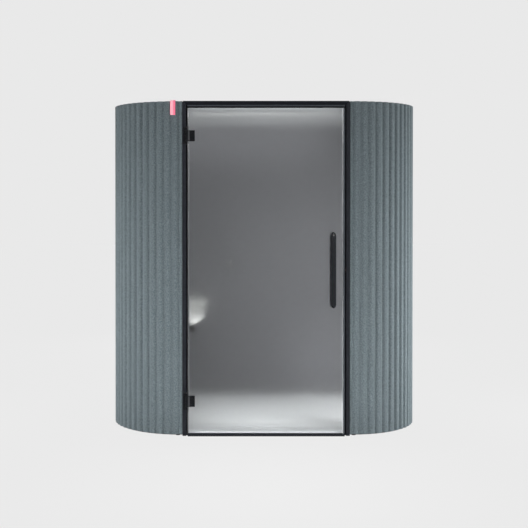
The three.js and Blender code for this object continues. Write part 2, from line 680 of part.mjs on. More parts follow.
function frameLeaf() {
  const innerX = pivotX - KNUCKLE_RADIUS - 2 * RUN_GAP;
  const plate = block(innerX - HINGE_PLATE_WIDTH, innerX, plateFrontY, plateBackY, -hingeHalf, hingeHalf);
  const ends = [[middleHalf + RUN_GAP, hingeHalf], [-hingeHalf, -middleHalf - RUN_GAP]];
  const webs = ends.map(([z0, z1]) => block(innerX - KNUCKLE_RADIUS, pivotX, pivotY, plateBackY, z0, z1));
  const knuckles = ends.map(([z0, z1]) => knuckle(z0, z1));
  return shaped(plate, { joins: [...webs, ...knuckles], cuts: [pinBore] });
}

function glassLeaf() {
  const outline = roundedRectangle(-LEAF_HALF, patchOuterX, -middleHalf, middleHalf, HINGE_PATCH_ROUND);
  const patch = extrudeY(outline, patchFrontY, patchBackY);
  const web = block(pivotX, -LEAF_HALF + HINGE_PATCH_WIDTH / 2, pivotY, patchBackY, -middleHalf, middleHalf);
  return shaped(patch, { joins: [web, knuckle(-middleHalf, middleHalf)], cuts: [pinBore] });
}

function clampPlate() {
  const inner = GLASS_BACK_Y + SEAT_GAP;
  const nearX = -STOP_INNER + SEAL_INSET;
  const outline = roundedRectangle(nearX, patchOuterX, -middleHalf, middleHalf, HINGE_PATCH_ROUND);
  const plate = extrudeY(outline, inner, inner + HINGE_PATCH_THICKNESS);
  const spigot = (z) => rodAlongY(CLAMP_SPIGOT_RADIUS, clampX, z, GLASS_FRONT_Y, inner + OVERRUN);
  return shaped(plate, { joins: clampHoles.map(spigot) });
}

const hingePin = turned([
  [0, -hingeHalf], [PIN_RADIUS, -hingeHalf], [PIN_RADIUS, hingeHalf + RUN_GAP],
  [PIN_HEAD_RADIUS, hingeHalf + RUN_GAP], [PIN_HEAD_RADIUS, hingeHalf + RUN_GAP + PIN_HEAD_HEIGHT],
  [0, hingeHalf + RUN_GAP + PIN_HEAD_HEIGHT],
]).translate(pivotX, pivotY, 0);

for (const [name, level] of Object.entries(hingeLevels)) {
  place(pod, `${name}_hinge_frame_leaf`, frameLeaf().translate(0, 0, level), hingeBlack);
  place(pod, `${name}_hinge_pin`, hingePin.clone().translate(0, 0, level), steel);
  place(door, `${name}_hinge_glass_leaf`, glassLeaf().translate(0, 0, level), hingeBlack);
  place(door, `${name}_hinge_clamp_plate`, clampPlate().translate(0, 0, level), hingeBlack);
}

// Pull handles: an oval bar swept along a bow, standing off the glass on its own bent, narrowed ends
const HANDLE_SIDES = 14;
const HANDLE_BEND_STEPS = 6;

function bowFrames(seat, direction) {
  const barY = seat + direction * (HANDLE_REACH - SEAT_GAP);
  const frames = [];
  for (const [z, sense] of [[handleEnds[0], 1], [handleEnds[1], -1]]) {
    const bend = [{ y: seat, z, turn: 0 }];
    for (let i = 0; i <= HANDLE_BEND_STEPS; i += 1) {
      const turn = (QUARTER * i) / HANDLE_BEND_STEPS;
      const y = barY - direction * HANDLE_BEND * (1 - Math.sin(turn));
      bend.push({ y, z: z + sense * HANDLE_BEND * (1 - Math.cos(turn)), turn });
    }
    for (const frame of bend) frame.sense = sense;
    frames.push(...(sense > 0 ? bend : bend.reverse()));
  }
  return frames;
}

function bow(seat, direction) {
  const frames = bowFrames(seat, direction);
  const vertices = [];
  for (const { y, z, turn, sense } of frames) {
    const width = HANDLE_END_WIDTH + (HANDLE_BAR_WIDTH - HANDLE_END_WIDTH) * Math.sin(turn);
    for (let i = 0; i < HANDLE_SIDES; i += 1) {
      const angle = (2 * Math.PI * i) / HANDLE_SIDES;
      const across = (width / 2) * Math.cos(angle);
      const out = (HANDLE_BAR_DEPTH / 2) * Math.sin(angle);
      const dy = direction * out * Math.sin(turn);
      const dz = -sense * out * Math.cos(turn);
      vertices.push(HANDLE_X + across, y + dy, z + dz);
    }
  }
  const faces = [];
  for (let ring = 0; ring + 1 < frames.length; ring += 1) {
    for (let i = 0; i < HANDLE_SIDES; i += 1) {
      const a = ring * HANDLE_SIDES + i;
      const b = ring * HANDLE_SIDES + ((i + 1) % HANDLE_SIDES);
      faces.push(a, b, a + HANDLE_SIDES, b, b + HANDLE_SIDES, a + HANDLE_SIDES);
    }
  }
  const last = (frames.length - 1) * HANDLE_SIDES;
  for (let i = 1; i + 1 < HANDLE_SIDES; i += 1) {
    faces.push(0, i + 1, i, last, last + i, last + i + 1);
  }
  const geometry = new THREE.BufferGeometry();
  geometry.setAttribute('position', new THREE.Float32BufferAttribute(vertices, 3));
  geometry.setIndex(faces);
  return outward(geometry);
}

const innerSeat = GLASS_BACK_Y + SEAT_GAP;
const spigotEnd = innerSeat + OVERRUN;
const handleSpigot = (z) => rodAlongY(HANDLE_SPIGOT_RADIUS, HANDLE_X, z, GLASS_FRONT_Y, spigotEnd);
const handleSpigots = handleEnds.map(handleSpigot);
place(door, 'handle_outer', bow(GLASS_FRONT_Y - SEAT_GAP, -1), frameBlack);
place(door, 'handle_inner', shaped(bow(innerSeat, 1), { joins: handleSpigots }), frameBlack);

// Roof and ceiling, slotted over and under the fans
const fans = { left: [-FAN_X, FAN_Y], right: [FAN_X, FAN_Y] };

function ventSlots(x, y) {
  const slots = [];
  const half = VENT_SLOT_WIDTH / 2;
  for (let i = 0; i < VENT_SLOTS; i += 1) {
    const slotY = y + (i - (VENT_SLOTS - 1) / 2) * VENT_SLOT_PITCH;
    const reach = Math.sqrt(FAN_BORE_RADIUS ** 2 - (slotY - y) ** 2) - half;
    const slot = new THREE.Path();
    slot.absarc(x + reach, slotY, half, -QUARTER, QUARTER);
    slot.absarc(x - reach, slotY, half, QUARTER, 3 * QUARTER);
    slots.push(slot);
  }
  return slots;
}

const VENT_EXTRUDE = { bevelEnabled: false, curveSegments: 2 };

function slottedPanel(plan, z0, z1) {
  for (const [x, y] of Object.values(fans)) plan.holes.push(...ventSlots(x, y));
  return new THREE.ExtrudeGeometry(plan, { ...VENT_EXTRUDE, depth: z1 - z0 }).translate(0, 0, z0);
}

place(pod, 'roof_panel', slottedPanel(polygon(panelPlan(CORE_OUTER)), ROOF_BOTTOM, ROOF_TOP), roofBoard);

const lightHalf = LIGHT_LENGTH / 2;
const ceilingPlan = polygon(panelPlan(LINING_OUTER));
ceilingPlan.holes.push(rectangle(
  -lightHalf - SEAT_GAP, lightHalf + SEAT_GAP,
  LIGHT_Y - LIGHT_WIDTH / 2 - SEAT_GAP, LIGHT_Y + LIGHT_WIDTH / 2 + SEAT_GAP));
const ceiling = slottedPanel(ceilingPlan, CEILING_BOTTOM, CEILING_TOP);
const lipY = INNER_FRONT_Y + SEAT_GAP;
const ceilingLip = block(
  -FRAME_HALF, FRAME_HALF, lipY, lipY + CEILING_LIP, CEILING_BOTTOM, ROOF_BOTTOM - SEAT_GAP);
place(pod, 'ceiling_panel', shaped(ceiling, { joins: [ceilingLip] }), panelWhite);

// Fans under the roof: square housing with struts to a hub disc and shaft, and a rotor hung on the shaft
const fanTop = ROOF_BOTTOM - SEAT_GAP;
const discBottom = fanTop - FAN_STRUT;
const rotorTop = discBottom - RUN_GAP;
const rotorBottom = fanTop - FAN_HEIGHT + FAN_STRUT / 2;
const bladeTip = FAN_BORE_RADIUS - FAN_TIP_GAP;

function fanHousing() {
  const half = FAN_SIZE / 2;
  const frame = roundedRectangle(-half, half, -half, half, FAN_CORNER);
  frame.holes.push(roundHole(0, 0, FAN_BORE_RADIUS));
  const shell = extrudeZ(frame, fanTop - FAN_HEIGHT, fanTop);
  const disc = rod(FAN_HUB_RADIUS, discBottom, fanTop);
  const shaft = rod(FAN_SHAFT_RADIUS, rotorBottom, fanTop);
  const struts = [0, 1, 2].map((i) => {
    const arm = block(0, FAN_BORE_RADIUS + OVERRUN, -FAN_STRUT / 2, FAN_STRUT / 2, discBottom, fanTop);
    return arm.rotateZ(QUARTER / 2 + (i * 4 * QUARTER) / 3);
  });
  return shaped(shell, { joins: [disc, ...struts, shaft] });
}

function fanBlade() {
  const rootPitch = THREE.MathUtils.degToRad(FAN_ROOT_PITCH);
  const tipPitch = THREE.MathUtils.degToRad(FAN_TIP_PITCH);
  const root = FAN_HUB_RADIUS - 2 * OVERRUN;
  const blade = new THREE.BoxGeometry(bladeTip - root, FAN_BLADE_CHORD, FAN_BLADE_THICKNESS, 3, 1, 1);
  const at = blade.attributes.position;
  for (let i = 0; i < at.count; i += 1) {
    const along = at.getX(i) / (bladeTip - root) + 0.5;
    const pitch = rootPitch + (tipPitch - rootPitch) * along;
    const [y, z] = [at.getY(i), at.getZ(i)];
    const turnedY = y * Math.cos(pitch) - z * Math.sin(pitch);
    const turnedZ = y * Math.sin(pitch) + z * Math.cos(pitch);
    const reach = Math.sqrt((root + along * (bladeTip - root)) ** 2 - turnedY ** 2);
    at.setXYZ(i, reach, turnedY, turnedZ + (rotorTop + rotorBottom) / 2);
  }
  return blade;
}

function fanRotor() {
  const hub = turned([
    [FAN_SHAFT_RADIUS + RUN_GAP, rotorBottom], [FAN_HUB_RADIUS - FAN_STRUT / 2, rotorBottom],
    [FAN_HUB_RADIUS, rotorBottom + FAN_STRUT / 2], [FAN_HUB_RADIUS, rotorTop],
    [FAN_SHAFT_RADIUS + RUN_GAP, rotorTop], [FAN_SHAFT_RADIUS + RUN_GAP, rotorBottom],
  ]);
  const blades = [];
  for (let i = 0; i < FAN_BLADES; i += 1) blades.push(fanBlade().rotateZ((i * 4 * QUARTER) / FAN_BLADES));
  return shaped(hub, { joins: blades });
}

for (const [side, [x, y]] of Object.entries(fans)) {
  place(pod, `fan_housing_${side}`, fanHousing().translate(x, y, 0), blackPlastic);
  place(pod, `fan_rotor_${side}`, fanRotor().translate(x, y, 0), blackPlastic);
}

// Ceiling light: a folded tray hung by its flanges on the ceiling, with a diffuser in its mouth
const trayHalf = LIGHT_WIDTH / 2;
const flangeBottom = CEILING_TOP + SEAT_GAP;
const flangeTop = flangeBottom + LIGHT_WALL;
const trayTop = CEILING_BOTTOM + LIGHT_HEIGHT;
const diffuserTop = CEILING_BOTTOM + DIFFUSER_THICKNESS;
const mouth = diffuserTop + SEAT_GAP;
const trayHalfSection = [
  [trayHalf - LIGHT_WALL, trayTop - LIGHT_WALL], [trayHalf - LIGHT_WALL, mouth], [trayHalf, mouth],
  [trayHalf, flangeBottom], [trayHalf + LIGHT_FLANGE, flangeBottom], [trayHalf + LIGHT_FLANGE, flangeTop],
  [trayHalf, flangeTop], [trayHalf, trayTop],
];
const traySection = [...trayHalfSection, ...mirrorPlan(trayHalfSection).reverse()];
const tray = extrudeX(polygon(traySection), -lightHalf, lightHalf).translate(0, LIGHT_Y, 0);
place(pod, 'light_housing', tray, panelWhite);
const diffuser = rectangle(-lightHalf, lightHalf, LIGHT_Y - trayHalf, LIGHT_Y + trayHalf);
place(pod, 'light_diffuser', extrudeZ(diffuser, CEILING_BOTTOM, diffuserTop), diffuserWhite);

const sensorTop = CEILING_BOTTOM - SEAT_GAP;
const sensorLens = [0, 1, 2, 3].map((step) => {
  const angle = (QUARTER * step) / 3;
  const drop = SENSOR_RIM + (SENSOR_HEIGHT - SENSOR_RIM) * Math.sin(angle);
  return [step < 3 ? SENSOR_LENS_RADIUS * Math.cos(angle) : 0, sensorTop - drop];
});
const sensorRim = [[0, sensorTop], [SENSOR_RADIUS, sensorTop], [SENSOR_RADIUS, sensorTop - SENSOR_RIM]];
const sensor = turned([...sensorRim, ...sensorLens]).translate(0, SENSOR_Y, 0);
place(pod, 'presence_sensor', sensor, panelWhite);
const supplyBottom = CEILING_TOP + SEAT_GAP;
const supply = roundedRectangle(
  -SUPPLY_LENGTH / 2, SUPPLY_LENGTH / 2, FAN_Y - SUPPLY_WIDTH / 2, FAN_Y + SUPPLY_WIDTH / 2, SUPPLY_ROUND);
place(pod, 'power_supply', extrudeZ(supply, supplyBottom, supplyBottom + SUPPLY_HEIGHT), blackPlastic);

// Worktop across the left end, its back following the lining and its user edge drawn back at the door
const worktopInset = WALL + WORKTOP_WALL_GAP;
const worktopFront = -HALF_DEPTH + worktopInset;
const worktopBack = HALF_DEPTH - worktopInset;
const worktopUnder = WORKTOP_TOP - WORKTOP_THICKNESS;
const worktop = polygon([...leftRun(worktopInset), [-WORKTOP_EDGE_X, worktopBack]]);
worktop.lineTo(-WORKTOP_EDGE_X, 0);
worktop.quadraticCurveTo(-WORKTOP_EDGE_X, worktopFront / 2, -WORKTOP_EDGE_X - WORKTOP_SWEEP, worktopFront);
place(pod, 'worktop', extrudeZ(worktop, worktopUnder, WORKTOP_TOP), panelWhite);

const upstandOuter = WALL + SEAT_GAP;
const upstandInner = upstandOuter + UPSTAND_THICKNESS;
const upstand = polygon([
  ...leftRun(upstandOuter), [-WORKTOP_EDGE_X, HALF_DEPTH - upstandOuter],
  [-WORKTOP_EDGE_X, HALF_DEPTH - upstandInner], ...leftRun(upstandInner).reverse(),
]);
const upstandBottom = WORKTOP_TOP + SEAT_GAP;
place(pod, 'worktop_upstand', extrudeZ(upstand, upstandBottom, upstandBottom + UPSTAND_HEIGHT), panelWhite);

// Brackets: folded angles, the upright leg on the wall or jamb and the other under the worktop
const bracketTop = worktopUnder - SEAT_GAP;
const angleSection = (wallY, direction) => polygon([
  [wallY, bracketTop], [wallY, bracketTop - BRACKET_LEG],
  [wallY + direction * BRACKET_THICKNESS, bracketTop - BRACKET_LEG],
  [wallY + direction * BRACKET_THICKNESS, bracketTop - BRACKET_THICKNESS],
  [wallY + direction * BRACKET_REACH, bracketTop - BRACKET_THICKNESS],
  [wallY + direction * BRACKET_REACH, bracketTop],
]);
const bracketFrontX = -FRAME_HALF + SEAT_GAP;
const bracketHalf = BRACKET_SIDE_WIDTH / 2;
const frontAngle = angleSection(INNER_FRONT_Y + SEAT_GAP, 1);
const rearAngle = angleSection(INNER_REAR_Y - SEAT_GAP, -1);
const sideAngle = angleSection(-INNER_SIDE_X + SEAT_GAP, 1);
const frontBracket = extrudeX(frontAngle, bracketFrontX, bracketFrontX + BRACKET_FRONT_WIDTH);
const rearBracket = extrudeX(rearAngle, -ARC_X, -WORKTOP_EDGE_X - BRACKET_EDGE);
place(pod, 'worktop_bracket_front', frontBracket, hingeBlack);
place(pod, 'worktop_bracket_rear', rearBracket, hingeBlack);
place(pod, 'worktop_bracket_side', extrudeY(sideAngle, -bracketHalf, bracketHalf), hingeBlack);

// Power module on the worktop, against the side upstand, its sockets facing the user
const moduleBack = -INNER_SIDE_X + SEAT_GAP + UPSTAND_THICKNESS + SEAT_GAP;
const moduleFront = moduleBack + MODULE_DEPTH;
const moduleBottom = WORKTOP_TOP + SEAT_GAP;
const moduleTop = moduleBottom + MODULE_HEIGHT;
const moduleSection = roundedRectangle(moduleBack, moduleFront, moduleBottom, moduleTop, MODULE_ROUND);
const moduleBody = extrudeY(moduleSection, -MODULE_LENGTH / 2, MODULE_LENGTH / 2);
const moduleSockets = [];
for (let i = 0; i < MODULE_SOCKETS; i += 1) {
  const y = (i - (MODULE_SOCKETS - 1) / 2) * (MODULE_LENGTH / MODULE_SOCKETS);
  const z = (moduleBottom + moduleTop) / 2;
  moduleSockets.push(rodAlongX(
    MODULE_SOCKET_RADIUS, y, z, moduleFront - MODULE_SOCKET_DEPTH, moduleFront + OVERRUN));
}
place(pod, 'power_module', shaped(moduleBody, { cuts: moduleSockets }), blackPlastic);

// Control plate on the rear lining, with one sprung push button
const controlBack = INNER_REAR_Y - SEAT_GAP;
const controlFront = controlBack - CONTROL_THICKNESS;
const controlHalf = CONTROL_SIZE / 2;
const controlOutline = roundedRectangle(
  CONTROL_X - controlHalf, CONTROL_X + controlHalf,
  CONTROL_Z - controlHalf, CONTROL_Z + controlHalf, CONTROL_ROUND);
const controlPlate = extrudeY(controlOutline, controlFront, controlBack);
const buttonFront = controlFront - BUTTON_PROUD;
const buttonBack = buttonFront + BUTTON_LENGTH;
const buttonWell = rodAlongY(
  BUTTON_RADIUS + RUN_GAP, CONTROL_X, CONTROL_Z, controlFront - OVERRUN, buttonBack + BUTTON_PROUD);
place(pod, 'control_plate', shaped(controlPlate, { cuts: [buttonWell] }), blackPlastic);
const button = turned([
  [0, -buttonBack], [BUTTON_RADIUS, -buttonBack], [BUTTON_RADIUS, -buttonFront - BUTTON_CHAMFER],
  [BUTTON_RADIUS - BUTTON_CHAMFER, -buttonFront], [0, -buttonFront],
]).rotateX(QUARTER).translate(CONTROL_X, 0, CONTROL_Z);
place(pod, 'control_button', button, panelWhite);

// Fabric tab folded over the rim, left of the frame
const TAB_STEPS = 6;
const tabFold = (grow) => Array.from({ length: TAB_STEPS + 1 }, (_, step) => {
  const angle = (Math.PI * step) / TAB_STEPS;
  const reach = (SEAT_GAP + TAB_RETURN) / 2 + grow;
  const height = (TAB_RISE + grow) * Math.sin(angle);
  return [(SEAT_GAP - TAB_RETURN) / 2 + reach * Math.cos(angle), RIM_TOP + SEAT_GAP + height];
});
const tabSection = polygon([
  [SEAT_GAP, RIM_TOP - TAB_DROP], ...tabFold(0), ...tabFold(TAB_THICKNESS).reverse(),
  [SEAT_GAP + TAB_THICKNESS, RIM_TOP - TAB_DROP],
]);
const tabTurn = THREE.MathUtils.degToRad(TAB_ANGLE);
const tab = extrudeX(tabSection, -TAB_WIDTH / 2, TAB_WIDTH / 2).rotateZ(Math.PI);
tab.translate(0, -CORNER_RADIUS, 0).rotateZ(-tabTurn).translate(-ARC_X, -ARC_Y, 0);
place(pod, 'fabric_tab', tab, tabPink);

// The origin is under the middle of the whole object, pull handle included.
pod.position.y = -(HALF_DEPTH + HANDLE_FRONT_Y) / 2;

export default pod;
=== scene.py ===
import math

import bmesh
import bpy
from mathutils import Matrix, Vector


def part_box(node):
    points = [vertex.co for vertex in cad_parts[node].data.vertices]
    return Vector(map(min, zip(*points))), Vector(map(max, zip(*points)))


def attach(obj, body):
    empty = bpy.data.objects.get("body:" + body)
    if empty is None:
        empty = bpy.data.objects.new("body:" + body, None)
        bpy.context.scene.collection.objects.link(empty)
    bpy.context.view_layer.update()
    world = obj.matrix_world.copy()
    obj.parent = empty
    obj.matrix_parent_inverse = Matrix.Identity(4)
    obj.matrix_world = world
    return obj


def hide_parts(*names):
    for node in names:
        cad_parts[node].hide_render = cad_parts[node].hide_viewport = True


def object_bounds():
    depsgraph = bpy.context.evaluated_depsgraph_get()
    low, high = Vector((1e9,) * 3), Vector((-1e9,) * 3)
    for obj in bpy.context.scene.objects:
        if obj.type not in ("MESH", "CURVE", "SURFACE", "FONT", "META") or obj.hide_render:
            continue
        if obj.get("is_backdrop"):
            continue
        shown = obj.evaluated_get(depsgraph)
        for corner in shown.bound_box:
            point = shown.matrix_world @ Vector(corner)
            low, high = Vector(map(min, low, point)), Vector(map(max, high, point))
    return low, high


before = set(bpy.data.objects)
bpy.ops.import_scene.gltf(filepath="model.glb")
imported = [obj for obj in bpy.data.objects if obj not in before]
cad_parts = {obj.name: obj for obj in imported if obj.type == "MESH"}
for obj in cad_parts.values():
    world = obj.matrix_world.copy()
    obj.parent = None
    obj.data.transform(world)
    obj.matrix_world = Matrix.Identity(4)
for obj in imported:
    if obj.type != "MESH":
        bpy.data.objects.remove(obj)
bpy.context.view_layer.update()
bpy.context.scene.view_settings.view_transform = "Standard"

# Camera
# From standing eye height, a little left of the pod's middle, tipped down by half a degree.
# The lens is shifted, so the uprights stay almost upright.
CAMERA_PLACE = (-0.241, -7.134, 1.556)
CAMERA_LENS = 66.34
CAMERA_TIP = 0.6
CAMERA_SHIFT = (0.0643, -0.0942)

bpy.ops.object.select_all(action="DESELECT")
bpy.ops.object.camera_add(location=CAMERA_PLACE, rotation=(math.radians(90 - CAMERA_TIP), 0, 0))
camera = bpy.context.object
camera.data.lens = CAMERA_LENS
camera.data.sensor_width = 36
camera.data.shift_x, camera.data.shift_y = CAMERA_SHIFT
bpy.context.scene.camera = camera

# Studio
# A pale floor in an even pale surround. Soft lamps stand at the pod's ends and front corners and over the floor,
# and in the cabin at the doorway, ceiling, back, floor and sill. No lamp shows itself.
# The floor keeps a faint shadow of the pod.
SURROUND = 0.815
AMBIENT = 0.10
FLOOR_SIZE = 60.0
FLOOR_WHITE = 0.85
FLOOR_GLOW = 0.98
FLOOR_SEEN = 0.829
SOFT_LAMPS = {
    "right_front_lamp": ((4.0, -3.5, 0.6), (0.6, -0.6, 1.0), (1.2, 1.2), 150, 61.5),
    "left_front_lamp": ((-3.5, -4.0, 0.6), (-0.6, -0.6, 1.0), (1.2, 1.2), 150, 72.0),
    "right_side_lamp": ((3.2, -0.1, 0.7), (0.85, -0.5, 1.0), (0.6, 0.6), 180, 54.0),
    "left_side_lamp": ((-3.2, -0.1, 0.7), (-0.85, -0.5, 1.0), (0.6, 0.6), 180, 24.0),
    "back_lamp": ((0.0, 4.5, 1.2), (0.0, 0.7, 1.1), (2.0, 2.0), 180, 120.0),
    "roof_lamp": ((0.0, 0.3, 6.0), (0.0, 0.301, 2.24), (1.0, 1.0), 40, 9.0),
    "floor_lamp": ((0.0, -1.9, 4.0), (0.0, -1.89, 0.0), (0.8, 0.8), 42, 18.0),
    "doorway_lamp": ((0.1, -0.625, 1.02), (0.18, 0.6, 1.02), (0.8, 1.4), 180, 16.8),
    "cabin_lamp": ((-0.05, -0.52, 2.16), (-0.05, -0.519, 0.0), (0.9, 0.1), 70, 2.8),
    "rear_lamp": ((-0.2, 0.34, 2.07), (-0.2, 0.62, 2.05), (1.5, 0.04), 140, 1.3),
    "low_lamp": ((0.45, -0.25, 0.45), (0.62, 0.6, 0.28), (0.3, 0.1), 70, 0.62),
    "right_wall_lamp": ((0.6, -0.3, 0.95), (0.66, 0.6, 0.88), (0.2, 1.7), 130, 4.5),
    "sill_lamp": ((0.0, -0.6345, 0.055), (0.0, -0.625, 0.02), (0.95, 0.005), 180, 0.11),
    "ceiling_lamp": ((-0.08, -0.34, 1.97), (-0.08, -0.30, 2.19), (1.6, 0.04), 180, 0.66),
    "head_lamp": ((0.0, -0.6345, 2.13), (0.0, -0.60, 2.2), (0.95, 0.005), 180, 0.165),
    "glint_lamp": ((0.75, -2.6, 3.2), (0.365, -0.7, 1.36), (0.1, 0.3), 8, 0.36),
}
GLINT = "glint_lamp"


def seen_rays(tree):
    """One where a ray leads to the picture directly, in a reflection or through glass."""
    rays = tree.nodes.new("ShaderNodeLightPath")
    seen = rays.outputs["Is Camera Ray"]
    for kind in ("Is Glossy Ray", "Is Transmission Ray"):
        either = tree.nodes.new("ShaderNodeMath")
        either.operation = "MAXIMUM"
        tree.links.new(seen, either.inputs[0])
        tree.links.new(rays.outputs[kind], either.inputs[1])
        seen = either.outputs[0]
    return seen


surround = bpy.data.worlds.new("studio_surround")
surround.use_nodes = True
level = surround.node_tree.nodes.new("ShaderNodeMapRange")
level.inputs["To Min"].default_value = AMBIENT
level.inputs["To Max"].default_value = SURROUND
surround.node_tree.links.new(seen_rays(surround.node_tree), level.inputs["Value"])
surround.node_tree.links.new(level.outputs["Result"], surround.node_tree.nodes["Background"].inputs["Color"])
bpy.context.scene.world = surround

bpy.ops.object.select_all(action="DESELECT")
bpy.ops.mesh.primitive_plane_add(size=FLOOR_SIZE)
studio_floor = bpy.context.object
studio_floor.name = "studio_floor"
floor_paint = bpy.data.materials.new("studio_floor_paint")
floor_paint.use_nodes = True
paint = floor_paint.node_tree
paint.nodes.clear()
matt = paint.nodes.new("ShaderNodeBsdfDiffuse")
matt.inputs["Color"].default_value = (FLOOR_WHITE, FLOOR_WHITE, FLOOR_WHITE, 1)
glow = paint.nodes.new("ShaderNodeEmission")
glow.inputs["Color"].default_value = (FLOOR_SEEN, FLOOR_SEEN, FLOOR_SEEN, 1)
glow_share = paint.nodes.new("ShaderNodeMath")
glow_share.operation = "MULTIPLY"
glow_share.inputs[1].default_value = FLOOR_GLOW
paint.links.new(seen_rays(paint), glow_share.inputs[0])
blend = paint.nodes.new("ShaderNodeMixShader")
paint.links.new(glow_share.outputs[0], blend.inputs[0])
paint.links.new(matt.outputs[0], blend.inputs[1])
paint.links.new(glow.outputs[0], blend.inputs[2])
floor_out = paint.nodes.new("ShaderNodeOutputMaterial")
paint.links.new(blend.outputs[0], floor_out.inputs[0])
studio_floor.data.materials.append(floor_paint)
studio_floor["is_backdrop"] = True

for name, (place, aim, size, spread, power) in SOFT_LAMPS.items():
    turn = (Vector(aim) - Vector(place)).to_track_quat("-Z", "Y").to_euler()
    bpy.ops.object.light_add(type="AREA", location=place, rotation=turn)
    lamp = bpy.context.object
    lamp.name = name
    lamp.data.shape = "RECTANGLE"
    lamp.data.size, lamp.data.size_y = size
    lamp.data.spread = math.radians(spread)
    lamp.data.energy = power
    lamp.visible_camera = lamp.visible_transmission = False
    lamp.visible_glossy = name == GLINT
    lamp.visible_diffuse = name != GLINT


# Levelling feet
# Six screw-in feet of black moulded plastic, each a pad, a lock nut and a stem.
# The stems pass through the deck and the pads carry the pod.
FOOT_EASE = 0.0006


def paint_value(red, green, blue):
    """A colour as a picture gives it, 0 to 255, as the shader takes it."""
    values = [channel / 255 for channel in (red, green, blue)]
    return (*[v / 12.92 if v <= 0.04045 else ((v + 0.055) / 1.055) ** 2.4 for v in values], 1)


def new_finish(name, roughness, metallic=0.0, **sockets):
    """A material with one principled shader, whose constant values sit on its own sockets."""
    material = bpy.data.materials.new(name)
    material.use_nodes = True
    shader = material.node_tree.nodes["Principled BSDF"]
    shader.inputs["Roughness"].default_value = roughness
    shader.inputs["Metallic"].default_value = metallic
    for socket, value in sockets.items():
        shader.inputs[socket.replace("_", " ")].default_value = value
    return material


def place_noise(material, scale, detail=2.0, stretch=(1, 1, 1)):
    """Noise that stays with the piece, read on its own coordinates."""
    tree = material.node_tree
    place = tree.nodes.new("ShaderNodeTexCoord")
    turn = tree.nodes.new("ShaderNodeMapping")
    turn.inputs["Scale"].default_value = stretch
    grain = tree.nodes.new("ShaderNodeTexNoise")
    grain.inputs["Scale"].default_value = scale
    grain.inputs["Detail"].default_value = detail
    tree.links.new(place.outputs["Object"], turn.inputs["Vector"])
    tree.links.new(turn.outputs["Vector"], grain.inputs["Vector"])
    return grain


def mottle(material, dark, light, scale, detail=2.0, stretch=(1, 1, 1), spread=(0.3, 0.7)):
    """Colour that wanders between two tones."""
    tree = material.node_tree
    grain = place_noise(material, scale, detail, stretch)
    tones = tree.nodes.new("ShaderNodeValToRGB")
    tones.color_ramp.elements[0].position, tones.color_ramp.elements[1].position = spread
    tones.color_ramp.elements[0].color = paint_value(*dark)
    tones.color_ramp.elements[1].color = paint_value(*light)
    tree.links.new(grain.outputs["Fac"], tones.inputs["Fac"])
    tree.links.new(tones.outputs["Color"], tree.nodes["Principled BSDF"].inputs["Base Color"])
    return tones


def emboss(material, height, strength, depth):
    """Fine relief from a texture's height."""
    tree = material.node_tree
    bump = tree.nodes.new("ShaderNodeBump")
    bump.inputs["Strength"].default_value = strength
    bump.inputs["Distance"].default_value = depth
    tree.links.new(height, bump.inputs["Height"])
    tree.links.new(bump.outputs["Normal"], tree.nodes["Principled BSDF"].inputs["Normal"])


def uneven_gloss(material, low, high, scale):
    """Roughness that varies over the surface, as handling and coating leave it."""
    tree = material.node_tree
    grain = place_noise(material, scale)
    span = tree.nodes.new("ShaderNodeMapRange")
    span.inputs["To Min"].default_value = low
    span.inputs["To Max"].default_value = high
    tree.links.new(grain.outputs["Fac"], span.inputs["Value"])
    tree.links.new(span.outputs["Result"], tree.nodes["Principled BSDF"].inputs["Roughness"])


def select_only(obj):
    bpy.ops.object.select_all(action="DESELECT")
    obj.select_set(True)
    bpy.context.view_layer.objects.active = obj


def apply_modifier(obj, kind, **settings):
    select_only(obj)
    modifier = obj.modifiers.new(kind.lower(), kind)
    for name, value in settings.items():
        setattr(modifier, name, value)
    bpy.ops.object.modifier_apply(modifier=modifier.name)


def fit_out(obj, body, material, slot, *nodes):
    """Gives a finished piece its material, its body and the nodes that it stands for."""
    obj.data.materials.clear()
    obj.data.materials.append(material)
    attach(obj, body)
    if nodes:
        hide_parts(*nodes)


def eased_copy(node, ease, segments=2, angle=30):
    """A piece's own form with its flat faces whole and every sharp edge eased."""
    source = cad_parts[node]
    obj = bpy.data.objects.new(node + "_finished", source.data.copy())
    bpy.context.scene.collection.objects.link(obj)
    select_only(obj)
    bpy.ops.mesh.customdata_custom_splitnormals_clear()
    bpy.ops.object.mode_set(mode="EDIT")
    bpy.ops.mesh.select_all(action="SELECT")
    bpy.ops.mesh.remove_doubles(threshold=1e-5)
    bpy.ops.mesh.dissolve_limited(angle_limit=math.radians(1))
    bpy.ops.object.mode_set(mode="OBJECT")
    apply_modifier(obj, "BEVEL", width=ease, segments=segments, limit_method="ANGLE",
                   angle_limit=math.radians(angle), use_clamp_overlap=True)
    bpy.ops.object.mode_set(mode="EDIT")
    bpy.ops.mesh.select_all(action="SELECT")
    bpy.ops.mesh.dissolve_degenerate(threshold=2e-6)
    bpy.ops.object.mode_set(mode="OBJECT")
    bpy.ops.object.shade_smooth_by_angle(angle=math.radians(angle))
    apply_modifier(obj, "WEIGHTED_NORMAL", keep_sharp=True)
    return obj


black_plastic = new_finish("black_moulded_plastic", 0.5, Specular_IOR_Level=0.45)
mottle(black_plastic, (25, 25, 27), (33, 33, 36), 260)
emboss(black_plastic, place_noise(black_plastic, 1400).outputs["Fac"], 0.12, 0.0004)

for corner in ("front_left", "front_right", "side_left", "side_right", "rear_left", "rear_right"):
    foot = eased_copy(f"foot_{corner}", FOOT_EASE)
    fit_out(foot, f"foot_{corner}", black_plastic, "black_plastic", f"foot_{corner}")

